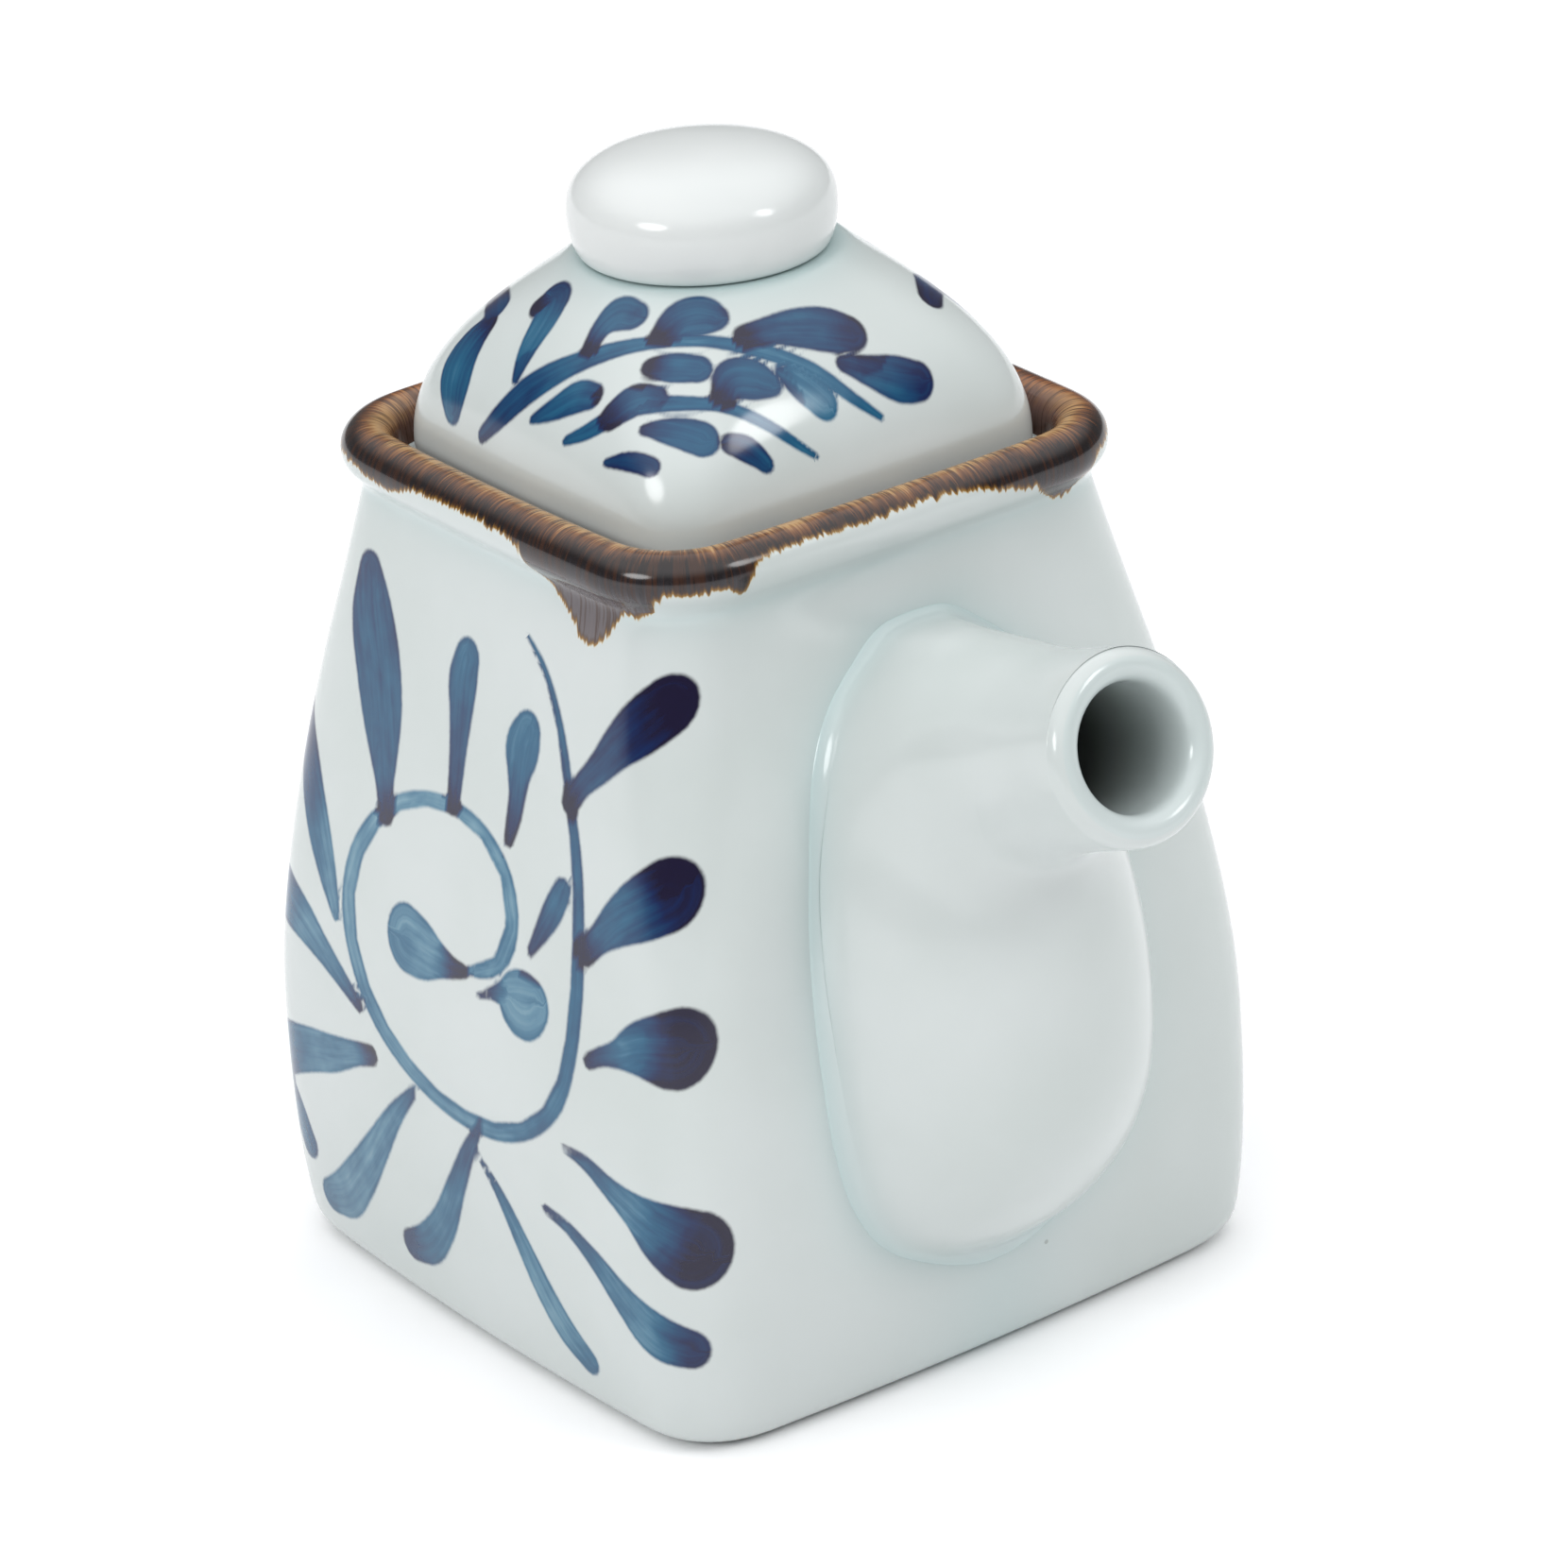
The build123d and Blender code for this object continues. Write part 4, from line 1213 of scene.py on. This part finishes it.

# %% [markdown]
# The iron glaze is honey-coloured where it is thin: along its frayed lower edge and over the top
# of the roll, where it runs off in hairlines. Where it lies thick on the outside of the roll it is
# nearly black with a cold sheen, and inside the mouth it turns a dull red-brown. On the two sides
# away from the lamps a darker ramp is painted in as shade.

# %% Iron glaze group
iron, w, entry, leave = new_group(
    "iron glaze",
    [("Edge", "Float", FAR), ("Wrap", "Vector", None), ("Profile", "Float", 0.0)],
    [("Color", "Color"), ("Mask", "Float"), ("Roughness", "Float"), ("Height", "Float")],
)
comb = w.noise(w.stretch(entry["Wrap"], (1.0, 1.0, 0.1)), 2.3, 1.0)
drift = w.noise(w.stretch(entry["Wrap"], (1.0, 1.0, 0.2)), 0.35, 2.0)
edge = w.sum_of("ADD", entry["Edge"], w.sum_of("MULTIPLY", w.sum_of("SUBTRACT", comb, 0.5), 1.5))
edge = w.sum_of("ADD", edge, w.sum_of("MULTIPLY", w.sum_of("SUBTRACT", drift, 0.5), 0.9))
mask = w.ease(edge, -0.1, 0.2)
hair = w.noise(w.stretch(entry["Wrap"], (1.0, 1.0, 0.05)), 3.6, 3.0, 0.6)
broad = w.noise(w.stretch(entry["Wrap"], (1.0, 1.0, 0.12)), 0.16, 2.0)
height = w.sum_of("ADD", entry["Profile"], w.sum_of("MULTIPLY", w.sum_of("SUBTRACT", hair, 0.5), 5.0))
height = w.sum_of("ADD", height, w.sum_of("MULTIPLY", w.sum_of("SUBTRACT", broad, 0.5), 4.0))
around = w.add("ShaderNodeSeparateXYZ", inputs={"Vector": entry["Wrap"]}).outputs
height = w.sum_of("SUBTRACT", height, 0.3)
zone = w.add("ShaderNodeMapRange", inputs={
    "Value": height, "From Min": 3.0, "From Max": 25.0,
}).outputs["Result"]
flow_colour = w.ramp(zone, (
    (0.0, paint(98, 90, 92)), (0.28, paint(80, 74, 78)), (0.42, paint(46, 42, 46)),
    (0.50, paint(24, 20, 22)), (0.575, paint(30, 20, 18)), (0.61, paint(84, 50, 28)),
    (0.65, paint(124, 80, 42)), (0.70, paint(178, 142, 94)), (0.78, paint(164, 126, 86)),
    (0.84, paint(96, 58, 40)), (0.92, paint(112, 82, 68)), (1.0, paint(78, 56, 50)),
))
# Painted shade: on the two sides away from the lamps the rim takes this darker ramp.
painted_shade_ramp = w.ramp(zone, (
    (0.0, paint(94, 86, 90)), (0.28, paint(76, 70, 74)), (0.42, paint(44, 38, 42)),
    (0.50, paint(22, 17, 18)), (0.57, paint(30, 18, 14)), (0.61, paint(76, 38, 18)),
    (0.655, paint(126, 70, 28)), (0.70, paint(150, 96, 50)), (0.75, paint(96, 56, 36)),
    (0.84, paint(106, 78, 70)), (1.0, paint(78, 56, 50)),
))
away_from_lamps = w.sum_of("MULTIPLY", w.sum_of("ADD", around["X"], around["Y"]), -1.0)
flow_colour = w.blend(w.ease(away_from_lamps, -4.0, 18.0), flow_colour, painted_shade_ramp)
threads = w.noise(w.stretch(entry["Wrap"], (1.0, 1.0, 0.04)), 2.2, 2.0, 0.6)
threads = w.sum_of("MULTIPLY", w.ease(threads, 0.48, 0.62), 0.75)
flow_colour = w.blend(threads, flow_colour, paint(58, 34, 22))
lip_light = w.ease(edge, 0.25, 0.95, 1.0, 0.0)
colour = w.blend(lip_light, flow_colour, w.ramp(edge, (
    (0.0, paint(196, 172, 116)), (0.2, paint(134, 98, 42)), (0.5, paint(84, 56, 24)),
    (0.9, paint(40, 26, 18)),
)))
w.feed(leave, "Color", colour)
w.feed(leave, "Mask", mask)
w.feed(leave, "Roughness", w.ease(hair, 0.3, 0.7, 0.08, 0.16))
w.feed(leave, "Height", w.sum_of("MULTIPLY", hair, 0.35))
print("iron group has", len(iron.nodes), "nodes")


# %% Glazed materials
def glazed(name, inked=False, rimmed=False, pale=False):
    """A glazed finish with ink under it and the iron rim over it where asked."""
    finish = bpy.data.materials.new(name)
    finish.use_nodes = True
    tree = finish.node_tree
    w = Wiring(tree)
    shader = tree.nodes["Principled BSDF"]
    place = w.add("ShaderNodeTexCoord").outputs["Object"]
    base = w.add("ShaderNodeGroup", node_tree=celadon, inputs={
        "Pool": w.value_of("pool"), "Painted Bore Shade": w.value_of("painted_bore_shade"), "Place": place,
    })
    if pale:
        w.feed(base, "Shade", paint(202, 206, 205))
        w.feed(base, "Tint", paint(208, 211, 210))
    colour, rough, height = base.outputs["Color"], base.outputs["Roughness"], base.outputs["Height"]
    if inked:
        ink = w.add("ShaderNodeGroup", node_tree=cobalt, inputs={
            "Edge": w.value_of("ink_edge"), "Line": w.value_of("ink_line", vector=True),
            "Flow": w.value_of("ink_flow", vector=True),
            "Load": w.value_of("ink_load"), "Place": place,
        })
        colour = w.blend(ink.outputs["Mask"], colour, ink.outputs["Color"])
    if rimmed:
        wrap = w.value_of("rim_wrap", vector=True)
        parts = w.add("ShaderNodeSeparateXYZ", inputs={"Vector": wrap})
        rim = w.add("ShaderNodeGroup", node_tree=iron, inputs={
            "Edge": w.value_of("rim_edge"), "Wrap": wrap, "Profile": parts.outputs["Z"],
        })
        colour = w.blend(rim.outputs["Mask"], colour, rim.outputs["Color"])
        rise = w.sum_of("MULTIPLY", rim.outputs["Mask"], 0.25)
        height = w.sum_of("ADD", height, rise)
    bump = w.add("ShaderNodeBump", inputs={"Height": height, "Strength": 0.3, "Distance": 0.0006})
    w.feed(shader, "Base Color", colour)
    w.feed(shader, "Roughness", rough)
    w.feed(shader, "Normal", bump.outputs["Normal"])
    shader.inputs["IOR"].default_value = 1.5
    return finish


finishes = {
    body: glazed("body glaze", inked=True, rimmed=True),
    spout: glazed("spout glaze"),
    lid: glazed("lid glaze", inked=True),
    collar: glazed("collar glaze"),
    knob: glazed("knob glaze", pale=True),
}
for piece, finish in finishes.items():
    piece.data.materials.clear()
    piece.data.materials.append(finish)
print("finishes:", sorted(finish.name for finish in finishes.values()))

# %% Finish
scene = bpy.context.scene
scene.view_settings.view_transform = "Standard"
